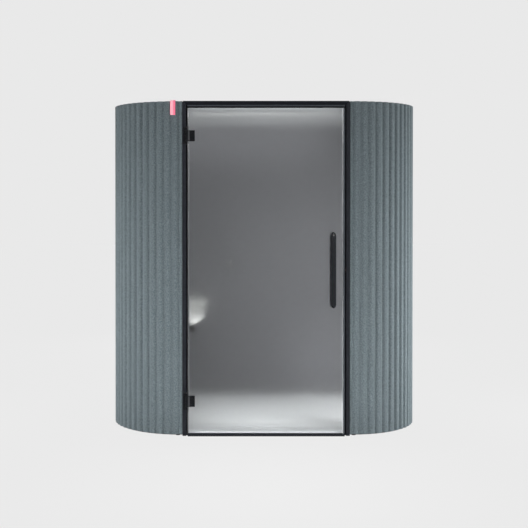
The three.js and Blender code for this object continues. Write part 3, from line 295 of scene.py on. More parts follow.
# Base deck
# One film-faced board under the whole cabin, sawn to the plan.
# The walls stand on it and the feet screw through it.
deck_film = new_finish("black_deck_film", 0.55)
mottle(deck_film, (48, 47, 46), (62, 61, 59), 18, detail=6, stretch=(1, 9, 1))
emboss(deck_film, place_noise(deck_film, 500, stretch=(1, 6, 1)).outputs["Fac"], 0.2, 0.0004)
deck = eased_copy("base_deck", 0.001)
fit_out(deck, "cabin", deck_film, "deck_board", "base_deck")

# Floor carpet
# Pale low-loop carpet, glued to the deck and cut round the linings.
CARPET_LOOP = 380

carpet_pile = new_finish("pale_loop_carpet", 0.95, Sheen_Weight=0.25, Sheen_Roughness=0.6)
mottle(carpet_pile, (200, 201, 201), (220, 221, 222), 90, detail=4)
loops = carpet_pile.node_tree.nodes.new("ShaderNodeTexVoronoi")
loops.inputs["Scale"].default_value = CARPET_LOOP
carpet_place = carpet_pile.node_tree.nodes.new("ShaderNodeTexCoord")
carpet_pile.node_tree.links.new(carpet_place.outputs["Object"], loops.inputs["Vector"])
emboss(carpet_pile, loops.outputs["Distance"], 0.5, 0.002)
carpet = eased_copy("floor_carpet", 0.0015)
fit_out(carpet, "cabin", carpet_pile, "carpet", "floor_carpet")

# Wall cores
# Fibre boards laminated round an acoustic fill, bent at the ends, standing on the deck.
# Felt is glued to both faces, so only their edges could ever show.
core_board = new_finish("wall_core_board", 0.9)
mottle(core_board, (128, 117, 100), (152, 141, 123), 60, detail=5, stretch=(1, 1, 0.2))
emboss(core_board, place_noise(core_board, 220, stretch=(1, 1, 0.15)).outputs["Fac"], 0.3, 0.001)
for node in ("left_end_core", "rear_core", "right_end_core"):
    core = eased_copy(node, 0.0005, segments=1)
    fit_out(core, "cabin", core_board, "wall_core", node)

# Felt linings
# Flat dark felt glued to the inside of each core, from the carpet to the ceiling.
LINING_DARK = (80, 80, 83)
LINING_LIGHT = (98, 98, 101)

lining_felt = new_finish("dark_lining_felt", 0.97, Sheen_Weight=0.2, Sheen_Roughness=0.5)
mottle(lining_felt, LINING_DARK, LINING_LIGHT, 170, detail=6)
emboss(lining_felt, place_noise(lining_felt, 700, detail=4).outputs["Fac"], 0.4, 0.0012)
for node in ("left_end_lining", "rear_lining", "right_end_lining"):
    lining = eased_copy(node, 0.0012)
    fit_out(lining, "cabin", lining_felt, "felt_lining", node)

# Outer felt skins
# Thick grey-blue felt pressed into upright flutes and glued over the cores: two ends and the back.
# One flute is shaped, repeated along the run and led round the corners.
FLUTE_DEPTH = 0.012
FLUTE_POWER = 4.4
FLUTE_STRIPS = 20
END_FLUTES = 35
REAR_FLUTES = 21
FELT_THICKNESS = 0.020
FELT_MARGIN = 0.020
RIM_ROUND = 0.0012
ARC_HANDLE = 0.5523
FELT_DARK = (93, 105, 110)
FELT_LIGHT = (130, 141, 145)
FELT_FLECK = (84, 95, 100)

felt_low, felt_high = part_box("left_end_felt")
rear_low, rear_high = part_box("rear_felt")
inlet_low, inlet_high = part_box("mains_inlet")
corner_radius = felt_high.x - felt_low.x - FELT_MARGIN
side_length = felt_high.y - felt_low.y - 2 * corner_radius
end_length = math.pi * corner_radius + side_length


def pick(obj, kind, test):
    """In edit mode, selects only the vertices, edges or faces that pass a test."""
    bpy.ops.mesh.select_mode(type=kind)
    bpy.ops.mesh.select_all(action="DESELECT")
    shape = bmesh.from_edit_mesh(obj.data)
    for part in {"VERT": shape.verts, "EDGE": shape.edges, "FACE": shape.faces}[kind]:
        part.select_set(test(part))
    shape.select_flush_mode()
    bmesh.update_edit_mesh(obj.data)


def add_block(name, low, high):
    """A block between two corners, ready in edit mode."""
    low, high = Vector(low), Vector(high)
    bpy.ops.object.select_all(action="DESELECT")
    bpy.ops.mesh.primitive_cube_add(size=1)
    obj = bpy.context.object
    obj.name = obj.data.name = name
    bpy.ops.object.mode_set(mode="EDIT")
    bpy.ops.mesh.select_all(action="SELECT")
    bpy.ops.transform.resize(value=high - low, center_override=(0, 0, 0))
    bpy.ops.transform.translate(value=(low + high) / 2)
    return obj


def along_x(edge):
    start, end = (vert.co for vert in edge.verts)
    return abs(start.x - end.x) > 10 * (abs(start.y - end.y) + abs(start.z - end.z))


def flute_run(name, start, pitch, count, first, last):
    """A straight run of felt flutes from a start on X, crowns on y = 0, open at its two ends."""
    obj = add_block(name, (start, -FELT_THICKNESS, felt_low.z), (start + pitch, 0, felt_high.z))
    pick(obj, "FACE", lambda face: abs(face.normal.x) > 0.9)
    bpy.ops.mesh.delete(type="FACE")
    pick(obj, "EDGE", along_x)
    bpy.ops.mesh.subdivide(number_cuts=FLUTE_STRIPS - 1)
    for strip in range(FLUTE_STRIPS + 1):
        across = start + pitch * strip / FLUTE_STRIPS
        share = first + (last - first) * strip / FLUTE_STRIPS
        inset = FLUTE_DEPTH * abs(math.cos(math.pi * share)) ** FLUTE_POWER
        pick(obj, "VERT", lambda vert: abs(vert.co.x - across) < 1e-5 and vert.co.y > 0.75 * -FELT_THICKNESS)
        bpy.ops.transform.translate(value=(0, -inset, 0))
    face = -FLUTE_DEPTH - 1e-5
    pick(obj, "EDGE", lambda edge: all(vert.co.y > face for vert in edge.verts)
         and abs(edge.verts[0].co.z - edge.verts[1].co.z) < 1e-6)
    bpy.ops.mesh.bevel(offset=RIM_ROUND, segments=3, affect="EDGES")
    bpy.ops.object.mode_set(mode="OBJECT")
    if count > 1:
        apply_modifier(obj, "ARRAY", count=count, use_relative_offset=False, use_constant_offset=True,
                       constant_offset_displace=(pitch, 0, 0), use_merge_vertices=True, merge_threshold=1e-5)
    return obj


def close_ends(obj):
    """Merges the seams and caps the open ends of a run."""
    select_only(obj)
    bpy.ops.object.mode_set(mode="EDIT")
    bpy.ops.mesh.select_all(action="SELECT")
    bpy.ops.mesh.remove_doubles(threshold=2e-4)
    xs = [vert.co.x for vert in obj.data.vertices]
    for end in (min(xs), max(xs)):
        pick(obj, "EDGE", lambda edge: edge.is_boundary and all(abs(vert.co.x - end) < 1e-4 for vert in edge.verts))
        bpy.ops.mesh.edge_face_add()
    bpy.ops.mesh.select_all(action="SELECT")
    bpy.ops.mesh.normals_make_consistent(inside=False)
    bpy.ops.object.mode_set(mode="OBJECT")


def plan_line(points, bends):
    """The line that a run of felt follows in plan: straight between points, round where a bend is named."""
    line = bpy.data.curves.new("felt_line", "CURVE")
    line.dimensions = "2D"
    line.resolution_u = 64
    spline = line.splines.new("BEZIER")
    spline.bezier_points.add(len(points) - 1)
    for knot, (x, y), (before, after) in zip(spline.bezier_points, points, bends):
        knot.co = (x, y, 0)
        knot.handle_left_type = knot.handle_right_type = "FREE"
        knot.handle_left = (x + before[0], y + before[1], 0)
        knot.handle_right = (x + after[0], y + after[1], 0)
    obj = bpy.data.objects.new("felt_line", line)
    bpy.context.scene.collection.objects.link(obj)
    return obj


felt = new_finish("fluted_felt", 1.0, Sheen_Weight=0.15, Sheen_Roughness=0.5, Specular_IOR_Level=0.2)
melange = mottle(felt, FELT_DARK, FELT_LIGHT, 165, detail=8, spread=(0.32, 0.68))
fleck = melange.color_ramp.elements.new(0.0)
fleck.color = paint_value(*FELT_FLECK)
emboss(felt, place_noise(felt, 620, detail=5, stretch=(1, 1, 0.6)).outputs["Fac"], 0.45, 0.0014)

left_felt = flute_run("left_felt_skin", FELT_MARGIN, end_length / END_FLUTES, END_FLUTES, 0, 1)
margin = flute_run("felt_margin", 0, FELT_MARGIN, 1, 0.5, 1)
select_only(left_felt)
margin.select_set(True)
bpy.ops.object.join()
close_ends(left_felt)
bow_in = corner_radius * ARC_HANDLE
front_y, rear_y = felt_low.y, felt_high.y
third = FELT_MARGIN / 3
straight = side_length / 3
left_line = plan_line(
    [(felt_high.x, front_y), (felt_high.x - FELT_MARGIN, front_y), (felt_low.x, front_y + corner_radius),
     (felt_low.x, rear_y - corner_radius), (felt_high.x - FELT_MARGIN, rear_y)],
    [((third, 0), (-third, 0)), ((third, 0), (-bow_in, 0)), ((0, -bow_in), (0, straight)),
     ((0, -straight), (0, bow_in)), ((-bow_in, 0), (bow_in, 0))])
apply_modifier(left_felt, "CURVE", object=left_line, deform_axis="POS_X")
bpy.ops.object.shade_smooth_by_angle(angle=math.radians(50))
bpy.data.objects.remove(left_line)

right_felt = bpy.data.objects.new("right_felt_skin", left_felt.data.copy())
bpy.context.scene.collection.objects.link(right_felt)
select_only(right_felt)
bpy.ops.object.mode_set(mode="EDIT")
bpy.ops.mesh.select_all(action="SELECT")
bpy.ops.transform.resize(value=(-1, 1, 1), center_override=(0, 0, 0))
bpy.ops.mesh.normals_make_consistent(inside=False)
bpy.ops.object.mode_set(mode="OBJECT")

rear_pitch = (rear_high.x - rear_low.x) / REAR_FLUTES
rear_felt = flute_run("rear_felt_skin", rear_low.x, rear_pitch, REAR_FLUTES, 0, 1)
close_ends(rear_felt)
bpy.ops.object.mode_set(mode="EDIT")
bpy.ops.mesh.select_all(action="SELECT")
bpy.ops.transform.translate(value=(0, rear_y, 0))
bpy.ops.object.mode_set(mode="OBJECT")
inlet_room = Vector((0.0003, 0.01, 0.0003))
window = add_block("inlet_window", inlet_low - inlet_room, inlet_high + inlet_room)
bpy.ops.object.mode_set(mode="OBJECT")
apply_modifier(rear_felt, "BOOLEAN", operation="DIFFERENCE", object=window, solver="EXACT")
bpy.data.objects.remove(window)
bpy.ops.object.shade_smooth_by_angle(angle=math.radians(50))

for skin, node in ((left_felt, "left_end_felt"), (rear_felt, "rear_felt"), (right_felt, "right_end_felt")):
    fit_out(skin, "cabin", felt, "felt_outer", node)

# Mains inlet
# A moulded black inlet let into the felt low on the back, with three flat pins in its well.
PIN_SIZE = (0.004, 0.010, 0.0018)
PIN_OFFSETS = ((-0.014, -0.004), (0.0, 0.005), (0.014, -0.004))

steel = new_finish("brushed_steel", 0.32, 1.0)
mottle(steel, (150, 154, 158), (178, 181, 184), 300, stretch=(1, 1, 0.05))
uneven_gloss(steel, 0.25, 0.42, 400)

inlet = eased_copy("mains_inlet", 0.001)
fit_out(inlet, "cabin", black_plastic, "black_plastic", "mains_inlet")
inlet_middle = (inlet_low + inlet_high) / 2
for number, (x, z) in enumerate(PIN_OFFSETS, 1):
    tip = Vector((inlet_middle.x + x, inlet_high.y - 0.005, inlet_middle.z + z))
    half = Vector((PIN_SIZE[0] / 2, 0, PIN_SIZE[2] / 2))
    pin = add_block(f"inlet_pin_{number}", tip - half - Vector((0, PIN_SIZE[1], 0)), tip + half)
    bpy.ops.object.mode_set(mode="OBJECT")
    apply_modifier(pin, "BEVEL", width=0.0005, segments=2)
    fit_out(pin, "cabin", steel, "steel")

# Door frame
# Hollow black powder-coated aluminium, one L-shaped extrusion mitred at the upper corners.
# It is screwed to the ends of the two curved walls.
FRAME_EASE = 0.0016

frame_black = new_finish("black_powder_coat", 0.42, Specular_IOR_Level=0.14)
mottle(frame_black, (15, 17, 23), (21, 24, 31), 35, detail=4)
emboss(frame_black, place_noise(frame_black, 900, detail=3).outputs["Fac"], 0.08, 0.0004)
uneven_gloss(frame_black, 0.36, 0.5, 60)
# A lighter copy of the head's powder coat goes on the jambs: painted light. On the door's bottom rail the same coat is
# painted shade.
painted_light_shade_black = new_finish("black_coat_painted_light_and_shade", 0.45, Specular_IOR_Level=0.2)
mottle(painted_light_shade_black, (29, 31, 37), (36, 38, 44), 35, detail=4)
emboss(painted_light_shade_black, place_noise(painted_light_shade_black, 900, detail=3).outputs["Fac"], 0.08, 0.0004)
uneven_gloss(painted_light_shade_black, 0.4, 0.52, 60)
for node, coat in (("frame_jamb_left", painted_light_shade_black), ("frame_jamb_right", painted_light_shade_black), ("frame_head", frame_black)):
    bar = eased_copy(node, FRAME_EASE, segments=3)
    fit_out(bar, "cabin", coat, "frame_black", node)

# Reveal liners
# Folded pale strips glued to the inner faces of the frame behind the stop, so that the doorway looks light.
LINER_THICKNESS = 0.001

# The side liners' greys up their height are painted light and shade: pale at the foot, darker in the middle, lighter
# again at the top.
LINER_PAINTED_TONES = ((0.0, 248), (0.09, 248), (0.13, 170), (0.3, 152), (0.5, 150), (0.8, 165), (0.9, 185), (1.0, 215))


def painted_light_by_height(material, low, high, tones):
    """Painted light and shade up the piece: each tone is a share of the height and a grey."""
    tree = material.node_tree
    place = tree.nodes.new("ShaderNodeTexCoord")
    axes = tree.nodes.new("ShaderNodeSeparateXYZ")
    share = tree.nodes.new("ShaderNodeMapRange")
    share.inputs["From Min"].default_value = low
    share.inputs["From Max"].default_value = high
    ramp = tree.nodes.new("ShaderNodeValToRGB")
    stops = ramp.color_ramp.elements
    while len(stops) < len(tones):
        stops.new(1.0)
    for stop, (position, grey) in zip(stops, tones):
        stop.position = position
        stop.color = paint_value(grey - 2, grey, grey + 3)
    tree.links.new(place.outputs["Object"], axes.inputs[0])
    tree.links.new(axes.outputs["Z"], share.inputs["Value"])
    tree.links.new(share.outputs["Result"], ramp.inputs["Fac"])
    tree.links.new(ramp.outputs["Color"], tree.nodes["Principled BSDF"].inputs["Base Color"])


liner_pale = new_finish("pale_reveal_coat", 0.5)
mottle(liner_pale, (236, 238, 240), (242, 243, 244), 45)
jamb_low, jamb_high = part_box("frame_jamb_left")
head_low, head_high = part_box("frame_head")
seal_low, seal_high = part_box("frame_seal")
sill_low, sill_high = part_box("threshold")
reveal_x, reveal_y = jamb_high.x + 0.0002, (seal_high.y + 0.001, jamb_high.y - 0.001)
reveal_z = (sill_high.z + 0.001, head_low.z - 0.0002)
# Painted light and shade on the side liners, graded up their height.
liner_painted_light = new_finish("reveal_coat_painted_light", 0.5)
painted_light_by_height(liner_painted_light, reveal_z[0], reveal_z[1], LINER_PAINTED_TONES)
LINERS = {
    "left_reveal_liner": ((reveal_x, reveal_y[0], reveal_z[0]), (reveal_x + LINER_THICKNESS, reveal_y[1], reveal_z[1])),
    "right_reveal_liner": ((-reveal_x - LINER_THICKNESS, reveal_y[0], reveal_z[0]), (-reveal_x, reveal_y[1], reveal_z[1])),
    "head_reveal_liner": ((reveal_x, reveal_y[0], reveal_z[1] - LINER_THICKNESS), (-reveal_x, reveal_y[1], reveal_z[1])),
}
for name, (low, high) in LINERS.items():
    liner = add_block(name, low, high)
    bpy.ops.object.mode_set(mode="OBJECT")
    apply_modifier(liner, "BEVEL", width=0.0003, segments=2)
    fit_out(liner, "cabin", liner_pale if name.startswith("head") else liner_painted_light, "white_metal")

# Frame seal and threshold
# A soft black profile in the rebate that the leaf closes on, and an anodised bar across the doorway.
rubber = new_finish("soft_black_seal", 0.8, Specular_IOR_Level=0.12)
mottle(rubber, (12, 12, 13), (18, 18, 19), 120)
emboss(rubber, place_noise(rubber, 800).outputs["Fac"], 0.15, 0.0004)
seal = eased_copy("frame_seal", 0.0014, segments=3)
fit_out(seal, "cabin", rubber, "seal_rubber", "frame_seal")

sill_metal = new_finish("pale_anodised_sill", 0.55)
mottle(sill_metal, (222, 224, 225), (234, 236, 237), 40, stretch=(0.02, 1, 1))
ribs = sill_metal.node_tree.nodes.new("ShaderNodeTexWave")
ribs.bands_direction = "Y"
ribs.inputs["Scale"].default_value = 60
sill_place = sill_metal.node_tree.nodes.new("ShaderNodeTexCoord")
sill_metal.node_tree.links.new(sill_place.outputs["Object"], ribs.inputs["Vector"])
emboss(sill_metal, ribs.outputs["Fac"], 0.35, 0.0008)
sill = eased_copy("threshold", 0.0012)
fit_out(sill, "cabin", sill_metal, "threshold_metal", "threshold")

# Door leaf
# Satin-etched laminated glass in two slim rails and a lock stile, with a rubber gasket and a pale band on its hinge
# edge.
# A dark glazing bead holds the glass under the top rail, and a wiper hangs under the bottom one.
# The pale edge band, the pale bead by the stile and the black bottom rail carry painted light and shade.
GLASS_TINT = (244, 247, 248)
GLASS_ETCHED = 0.276
GLASS_POLISHED = 0.02
EDGE_BAND = 0.008
EDGE_GASKET = 0.0025
EDGE_PAINTED_TONES = ((0.0, 205), (0.06, 205), (0.09, 133), (0.7, 140), (0.86, 172), (0.95, 212), (1.0, 245))
STILE_BEAD_PAINTED_TONES = ((0.0, 230), (0.09, 228), (0.13, 158), (0.3, 150), (0.7, 144), (0.86, 152), (0.95, 185), (1.0, 220))
STILE_BEAD = (0.5065, 0.5138)
EDGE_BAND_THICKNESS = 0.0004
BEAD_HEIGHT = 0.009
BEAD_LAP = 0.0025
BEAD_THICKNESS = 0.0012

frosted = new_finish("satin_glass", GLASS_ETCHED, Transmission_Weight=1.0, IOR=1.41, Specular_IOR_Level=0.5)
mottle(frosted, GLASS_TINT, tuple(min(255, tone + 4) for tone in GLASS_TINT), 30)
glass_low, glass_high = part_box("door_glass")
glass_place = frosted.node_tree.nodes.new("ShaderNodeTexCoord")
glass_axes = frosted.node_tree.nodes.new("ShaderNodeSeparateXYZ")
etching = frosted.node_tree.nodes.new("ShaderNodeMapRange")
for socket, value in (("From Min", glass_low.y), ("From Max", glass_high.y),
                      ("To Min", GLASS_ETCHED), ("To Max", GLASS_POLISHED)):
    etching.inputs[socket].default_value = value
frosted.node_tree.links.new(glass_place.outputs["Object"], glass_axes.inputs[0])
frosted.node_tree.links.new(glass_axes.outputs["Y"], etching.inputs["Value"])
frosted.node_tree.links.new(etching.outputs["Result"], frosted.node_tree.nodes["Principled BSDF"].inputs["Roughness"])
glass = eased_copy("door_glass", 0.0008)
fit_out(glass, "door", frosted, "frosted_glass", "door_glass")

# The pale band at the glass's hinge edge is painted light: its greys up the height stand for the light of ceiling and
# floor in the glass edge.
edge_band_painted_light = new_finish("glass_edge_painted_light", 0.25, Transmission_Weight=0.25)
rail_low, rail_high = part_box("door_top_rail")
foot_rail_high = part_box("door_bottom_rail")[1]
painted_light_by_height(edge_band_painted_light, foot_rail_high.z, rail_low.z, EDGE_PAINTED_TONES)
EDGE_STRIPS = {
    "hinge_edge_gasket": (0.0, EDGE_GASKET, rubber, "seal_rubber"),
    "glass_edge_band": (EDGE_GASKET, EDGE_BAND, edge_band_painted_light, "frosted_glass"),
}
for name, (start, end, finish, slot) in EDGE_STRIPS.items():
    strip = add_block(name, (glass_low.x + start, glass_low.y - EDGE_BAND_THICKNESS, foot_rail_high.z),
                      (glass_low.x + end, glass_low.y, rail_low.z))
    bpy.ops.object.mode_set(mode="OBJECT")
    apply_modifier(strip, "BEVEL", width=0.0001, segments=2)
    fit_out(strip, "door", finish, slot)

leaf_grey = new_finish("dark_grey_anodised", 0.4, 0.3)
mottle(leaf_grey, (56, 61, 67), (66, 71, 78), 50, detail=3)
uneven_gloss(leaf_grey, 0.34, 0.46, 70)
# The bottom rail takes the black coat, not the grey of the top rail and stile: painted shade, for the shade low on the
# door.
for node, finish in (("door_top_rail", leaf_grey), ("door_bottom_rail", painted_light_shade_black), ("door_lock_stile", leaf_grey)):
    rail = eased_copy(node, 0.001)
    fit_out(rail, "door", finish, "frame_black", node)

# The pale bead along the stile edge of the glass is a painted highlight, with painted light and shade up its height.
bead_painted_light = new_finish("stile_bead_painted_light", 0.5)
painted_light_by_height(bead_painted_light, foot_rail_high.z, rail_low.z, STILE_BEAD_PAINTED_TONES)
stile_bead = add_block("stile_bead", (STILE_BEAD[0], rail_low.y - EDGE_BAND_THICKNESS, foot_rail_high.z),
                       (STILE_BEAD[1], glass_low.y, rail_low.z - BEAD_LAP))
bpy.ops.object.mode_set(mode="OBJECT")
apply_modifier(stile_bead, "BEVEL", width=0.0004, segments=2)
fit_out(stile_bead, "door", bead_painted_light, "white_metal")

wiper = eased_copy("door_sweep", 0.001)
fit_out(wiper, "door", rubber, "seal_rubber", "door_sweep")

bead = add_block("glazing_bead", (rail_low.x, rail_low.y - BEAD_THICKNESS, rail_low.z - BEAD_LAP),
                 (rail_high.x, rail_low.y, rail_low.z + BEAD_HEIGHT))
bpy.ops.object.mode_set(mode="OBJECT")
apply_modifier(bead, "BEVEL", width=0.0005, segments=2)
fit_out(bead, "door", rubber, "seal_rubber")

# Latch
# A sprung steel bolt with a domed nose in the lock stile, and its strike plate on the jamb.
burnished = new_finish("burnished_steel", 0.5, 0.6)
mottle(burnished, (66, 56, 55), (78, 67, 66), 200)
for node, body in (("latch_bolt", "latch"), ("strike_plate", "cabin")):
    catch = eased_copy(node, 0.0004)
    fit_out(catch, body, burnished, "steel", node)

# Hinges
# Two black steel glass-door hinges: a leaf on the jamb, a pin, and plates clamped on both sides of the glass.
# Socket-head screws hold the leaves.
SCREW_RADIUS = 0.0042
SCREW_HEIGHT = 0.0016
SCREW_FROM_MIDDLE = {"frame_leaf": 0.044, "glass_leaf": 0.020}
CLAMP_FROM_EDGE = 0.030

hinge_black = new_finish("black_hinge_coat", 0.38, Specular_IOR_Level=0.14)
mottle(hinge_black, (13, 14, 17), (19, 20, 24), 120)
uneven_gloss(hinge_black, 0.3, 0.46, 150)


def socket_screw(name, place, body, material, slot, up=False):
    """A low round head with a sunk socket, on a face that looks to the front or up."""
    bpy.ops.object.select_all(action="DESELECT")
    bpy.ops.mesh.primitive_cylinder_add(vertices=24, radius=SCREW_RADIUS, depth=SCREW_HEIGHT)
    obj = bpy.context.object
    obj.name = obj.data.name = name
    bpy.ops.object.mode_set(mode="EDIT")
    pick(obj, "FACE", lambda face: face.normal.z > 0.9)
    bpy.ops.mesh.bevel(offset=0.0005, segments=2, affect="EDGES")
    pick(obj, "FACE", lambda face: face.normal.z > 0.9)
    bpy.ops.mesh.inset(thickness=SCREW_RADIUS * 0.4)
    bpy.ops.mesh.extrude_region_move(TRANSFORM_OT_translate={"value": (0, 0, -SCREW_HEIGHT * 0.7)})
    bpy.ops.mesh.select_all(action="SELECT")
    bpy.ops.transform.translate(value=(0, 0, SCREW_HEIGHT / 2))
    if not up:
        bpy.ops.transform.rotate(value=math.radians(-90), orient_axis="X", center_override=(0, 0, 0))
    bpy.ops.transform.translate(value=place)
    bpy.ops.object.mode_set(mode="OBJECT")
    bpy.ops.object.shade_smooth_by_angle(angle=math.radians(40))
    fit_out(obj, body, material, slot)


# A lighter grey cover lies on each hinge's glass leaf beside the pin.
COVER_START = 0.003
COVER_WIDTH = 0.0125
COVER_HALF = 0.033
COVER_THICKNESS = 0.0012

cover_grey = new_finish("grey_hinge_cover", 0.4)
mottle(cover_grey, (50, 51, 54), (60, 61, 64), 150)
# The pins' lighter grey is a painted highlight, the light caught on their round barrels.
pin_painted_highlight = new_finish("pin_coat_painted_highlight", 0.4)
mottle(pin_painted_highlight, (66, 64, 64), (80, 78, 77), 150)
for level in ("lower", "upper"):
    for part, body in (("frame_leaf", "cabin"), ("glass_leaf", "door"), ("clamp_plate", "door")):
        leaf = eased_copy(f"{level}_hinge_{part}", 0.0009)
        fit_out(leaf, body, hinge_black, "hinge_black", f"{level}_hinge_{part}")
    pin = eased_copy(f"{level}_hinge_pin", 0.0006)
    fit_out(pin, "cabin", pin_painted_highlight, "steel", f"{level}_hinge_pin")
    plate_low, plate_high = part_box(f"{level}_hinge_frame_leaf")
    edge_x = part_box("door_glass")[0].x
    middle_z = (plate_low.z + plate_high.z) / 2
    plate_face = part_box("frame_jamb_left")[0].y - 0.0043
    patch_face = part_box("door_glass")[0].y - 0.0063
    cover_x = edge_x + COVER_START
    pin_low, pin_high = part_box(f"{level}_hinge_pin")
    web_face = (pin_low.y + pin_high.y) / 2
    cover = add_block(f"{level}_hinge_cover", (cover_x, web_face - COVER_THICKNESS, middle_z - COVER_HALF),
                      (cover_x + COVER_WIDTH, web_face, middle_z + COVER_HALF))
    bpy.ops.object.mode_set(mode="OBJECT")
    apply_modifier(cover, "BEVEL", width=0.0005, segments=3)
    fit_out(cover, "door", cover_grey, "hinge_black")
    for side, sign in (("below", -1), ("above", 1)):
        plate_z = middle_z + sign * SCREW_FROM_MIDDLE["frame_leaf"]
        socket_screw(f"{level}_jamb_screw_{side}", (plate_low.x + 0.008, plate_face, plate_z),
                     "cabin", hinge_black, "hinge_black")
        patch_z = middle_z + sign * SCREW_FROM_MIDDLE["glass_leaf"]
        socket_screw(f"{level}_clamp_screw_{side}", (edge_x + CLAMP_FROM_EDGE, patch_face, patch_z),
                     "door", hinge_black, "hinge_black")
sill_middle = (sill_low + sill_high) / 2
for number, x in enumerate((-0.42, -0.14, 0.14, 0.42), 1):
    socket_screw(f"sill_screw_{number}", (x, sill_middle.y, sill_high.z), "cabin", steel, "steel", up=True)

# Pull handles
# An oval aluminium bar bent back to the glass at both ends, black satin, one outside and its twin inside.
# Spigots through the glass join the pair.
BAR_WIDTH = 0.0325
BAR_END_WIDTH = 0.020
BAR_DEPTH = 0.018
BAR_BEND = 0.019
BAR_SIDES = 40
BEND_STEPS = 12

bar_black = new_finish("black_satin_bar", 0.40, Specular_IOR_Level=0.25)
mottle(bar_black, (17, 19, 24), (23, 25, 31), 40)
uneven_gloss(bar_black, 0.36, 0.44, 80)


def pull_bar(name, node, seat, front):
    """A bowed bar: an oval ring led out from the glass, wider round a bend, up, and round back to the glass."""
    low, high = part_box(node)
    out = math.copysign(1, front - seat)
    bar_y = front - out * BAR_DEPTH / 2
    x = high.x - BAR_WIDTH / 2
    foot_z, head_z = low.z + BAR_DEPTH / 2, high.z - BAR_DEPTH / 2
    bpy.ops.object.select_all(action="DESELECT")
    bpy.ops.mesh.primitive_circle_add(vertices=BAR_SIDES, radius=0.5, fill_type="NOTHING")
    obj = bpy.context.object
    obj.name = obj.data.name = name
    bpy.ops.object.mode_set(mode="EDIT")
    bpy.ops.mesh.select_mode(type="EDGE")
    bpy.ops.mesh.select_all(action="SELECT")
    bpy.ops.transform.resize(value=(BAR_END_WIDTH, BAR_DEPTH, 1), center_override=(0, 0, 0))
    bpy.ops.transform.rotate(value=math.radians(90), orient_axis="X", center_override=(0, 0, 0))
    bpy.ops.transform.translate(value=(x, seat, foot_z))
    reach = bar_y - out * BAR_BEND - seat
    bpy.ops.mesh.extrude_region_move(TRANSFORM_OT_translate={"value": (0, reach, 0)})
    bend_angle = math.radians(90) / BEND_STEPS
    widths = [BAR_END_WIDTH + (BAR_WIDTH - BAR_END_WIDTH) * math.sin(bend_angle * step)
              for step in range(BEND_STEPS + 1)]
    rise = head_z - foot_z - 2 * BAR_BEND
    for bend_z, taper, lead in ((foot_z + BAR_BEND, widths, (0, 0, rise)),
                                (head_z - BAR_BEND, widths[::-1], (0, -reach, 0))):
        for before, after in zip(taper, taper[1:]):
            bpy.ops.mesh.extrude_region_move(TRANSFORM_OT_translate={"value": (0, 0, 0)})
            bpy.ops.transform.rotate(value=-out * bend_angle, orient_axis="X",
                                     center_override=(x, bar_y - out * BAR_BEND, bend_z))
            bpy.ops.transform.resize(value=(after / before, 1, 1), center_override=(x, 0, 0))
        bpy.ops.mesh.extrude_region_move(TRANSFORM_OT_translate={"value": lead})
    pick(obj, "EDGE", lambda edge: edge.is_boundary and all(abs(vert.co.y - seat) < 1e-4 for vert in edge.verts))
    bpy.ops.mesh.fill_holes(sides=0)
    bpy.ops.mesh.select_all(action="SELECT")
    bpy.ops.mesh.remove_doubles(threshold=1e-6)
    bpy.ops.mesh.normals_make_consistent(inside=False)
    bpy.ops.object.mode_set(mode="OBJECT")
    bpy.ops.object.shade_smooth_by_angle(angle=math.radians(40))
    fit_out(obj, "door", bar_black, "handle_black", node)


outer_low, outer_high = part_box("handle_outer")
inner_low, inner_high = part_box("handle_inner")
pull_bar("outer_pull_bar", "handle_outer", outer_high.y, outer_low.y)
pull_bar("inner_pull_bar", "handle_inner", glass_high.y + 0.0003, inner_high.y)

# Roof and ceiling
# A dark film-faced roof board inside the felt rim, and a white ceiling board below it.
# Both are slotted over the fans.
ROOF_SCREW_INSET = 0.03

roof_film = new_finish("dark_roof_film", 0.6)
mottle(roof_film, (46, 48, 50), (56, 58, 61), 8, detail=6)
emboss(roof_film, place_noise(roof_film, 350).outputs["Fac"], 0.15, 0.0005)
roof = eased_copy("roof_panel", 0.0012)
fit_out(roof, "cabin", roof_film, "roof_board", "roof_panel")
roof_low, roof_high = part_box("roof_panel")
roof_middle = (roof_low + roof_high) / 2
bend_x, bend_y = roof_high.x - corner_radius + FELT_THICKNESS, roof_high.y - corner_radius + FELT_THICKNESS
diagonal = (corner_radius - FELT_THICKNESS - ROOF_SCREW_INSET) * math.sqrt(0.5)
ROOF_SCREWS = [(x, roof_high.y - ROOF_SCREW_INSET) for x in (-0.5, -0.17, 0.17, 0.5)]
ROOF_SCREWS += [(x, jamb_high.y + ROOF_SCREW_INSET) for x in (-0.45, 0.0, 0.45)]
ROOF_SCREWS += [(side * (roof_high.x - ROOF_SCREW_INSET), roof_middle.y) for side in (-1, 1)]
ROOF_SCREWS += [(side * (bend_x + diagonal), roof_middle.y + end * (bend_y - roof_middle.y + diagonal))
                for side in (-1, 1) for end in (-1, 1)]
for number, (x, y) in enumerate(ROOF_SCREWS, 1):
    socket_screw(f"roof_screw_{number}", (x, y, roof_high.z), "cabin", steel, "steel", up=True)

white_board = new_finish("white_melamine", 0.5)
mottle(white_board, (190, 191, 192), (198, 199, 200), 25)
emboss(white_board, place_noise(white_board, 700).outputs["Fac"], 0.08, 0.0003)
ceiling = eased_copy("ceiling_panel", 0.001)
fit_out(ceiling, "cabin", white_board, "white_board", "ceiling_panel")

# Fans
# Two flat black axial fans screwed under the roof, their bladed rotors hung on the housings' shafts.
for side in ("left", "right"):
    housing = eased_copy(f"fan_housing_{side}", 0.0008)
    fit_out(housing, "cabin", black_plastic, "black_plastic", f"fan_housing_{side}")
    rotor = eased_copy(f"fan_rotor_{side}", 0.0004)
    fit_out(rotor, f"fan_{side}", black_plastic, "black_plastic", f"fan_rotor_{side}")

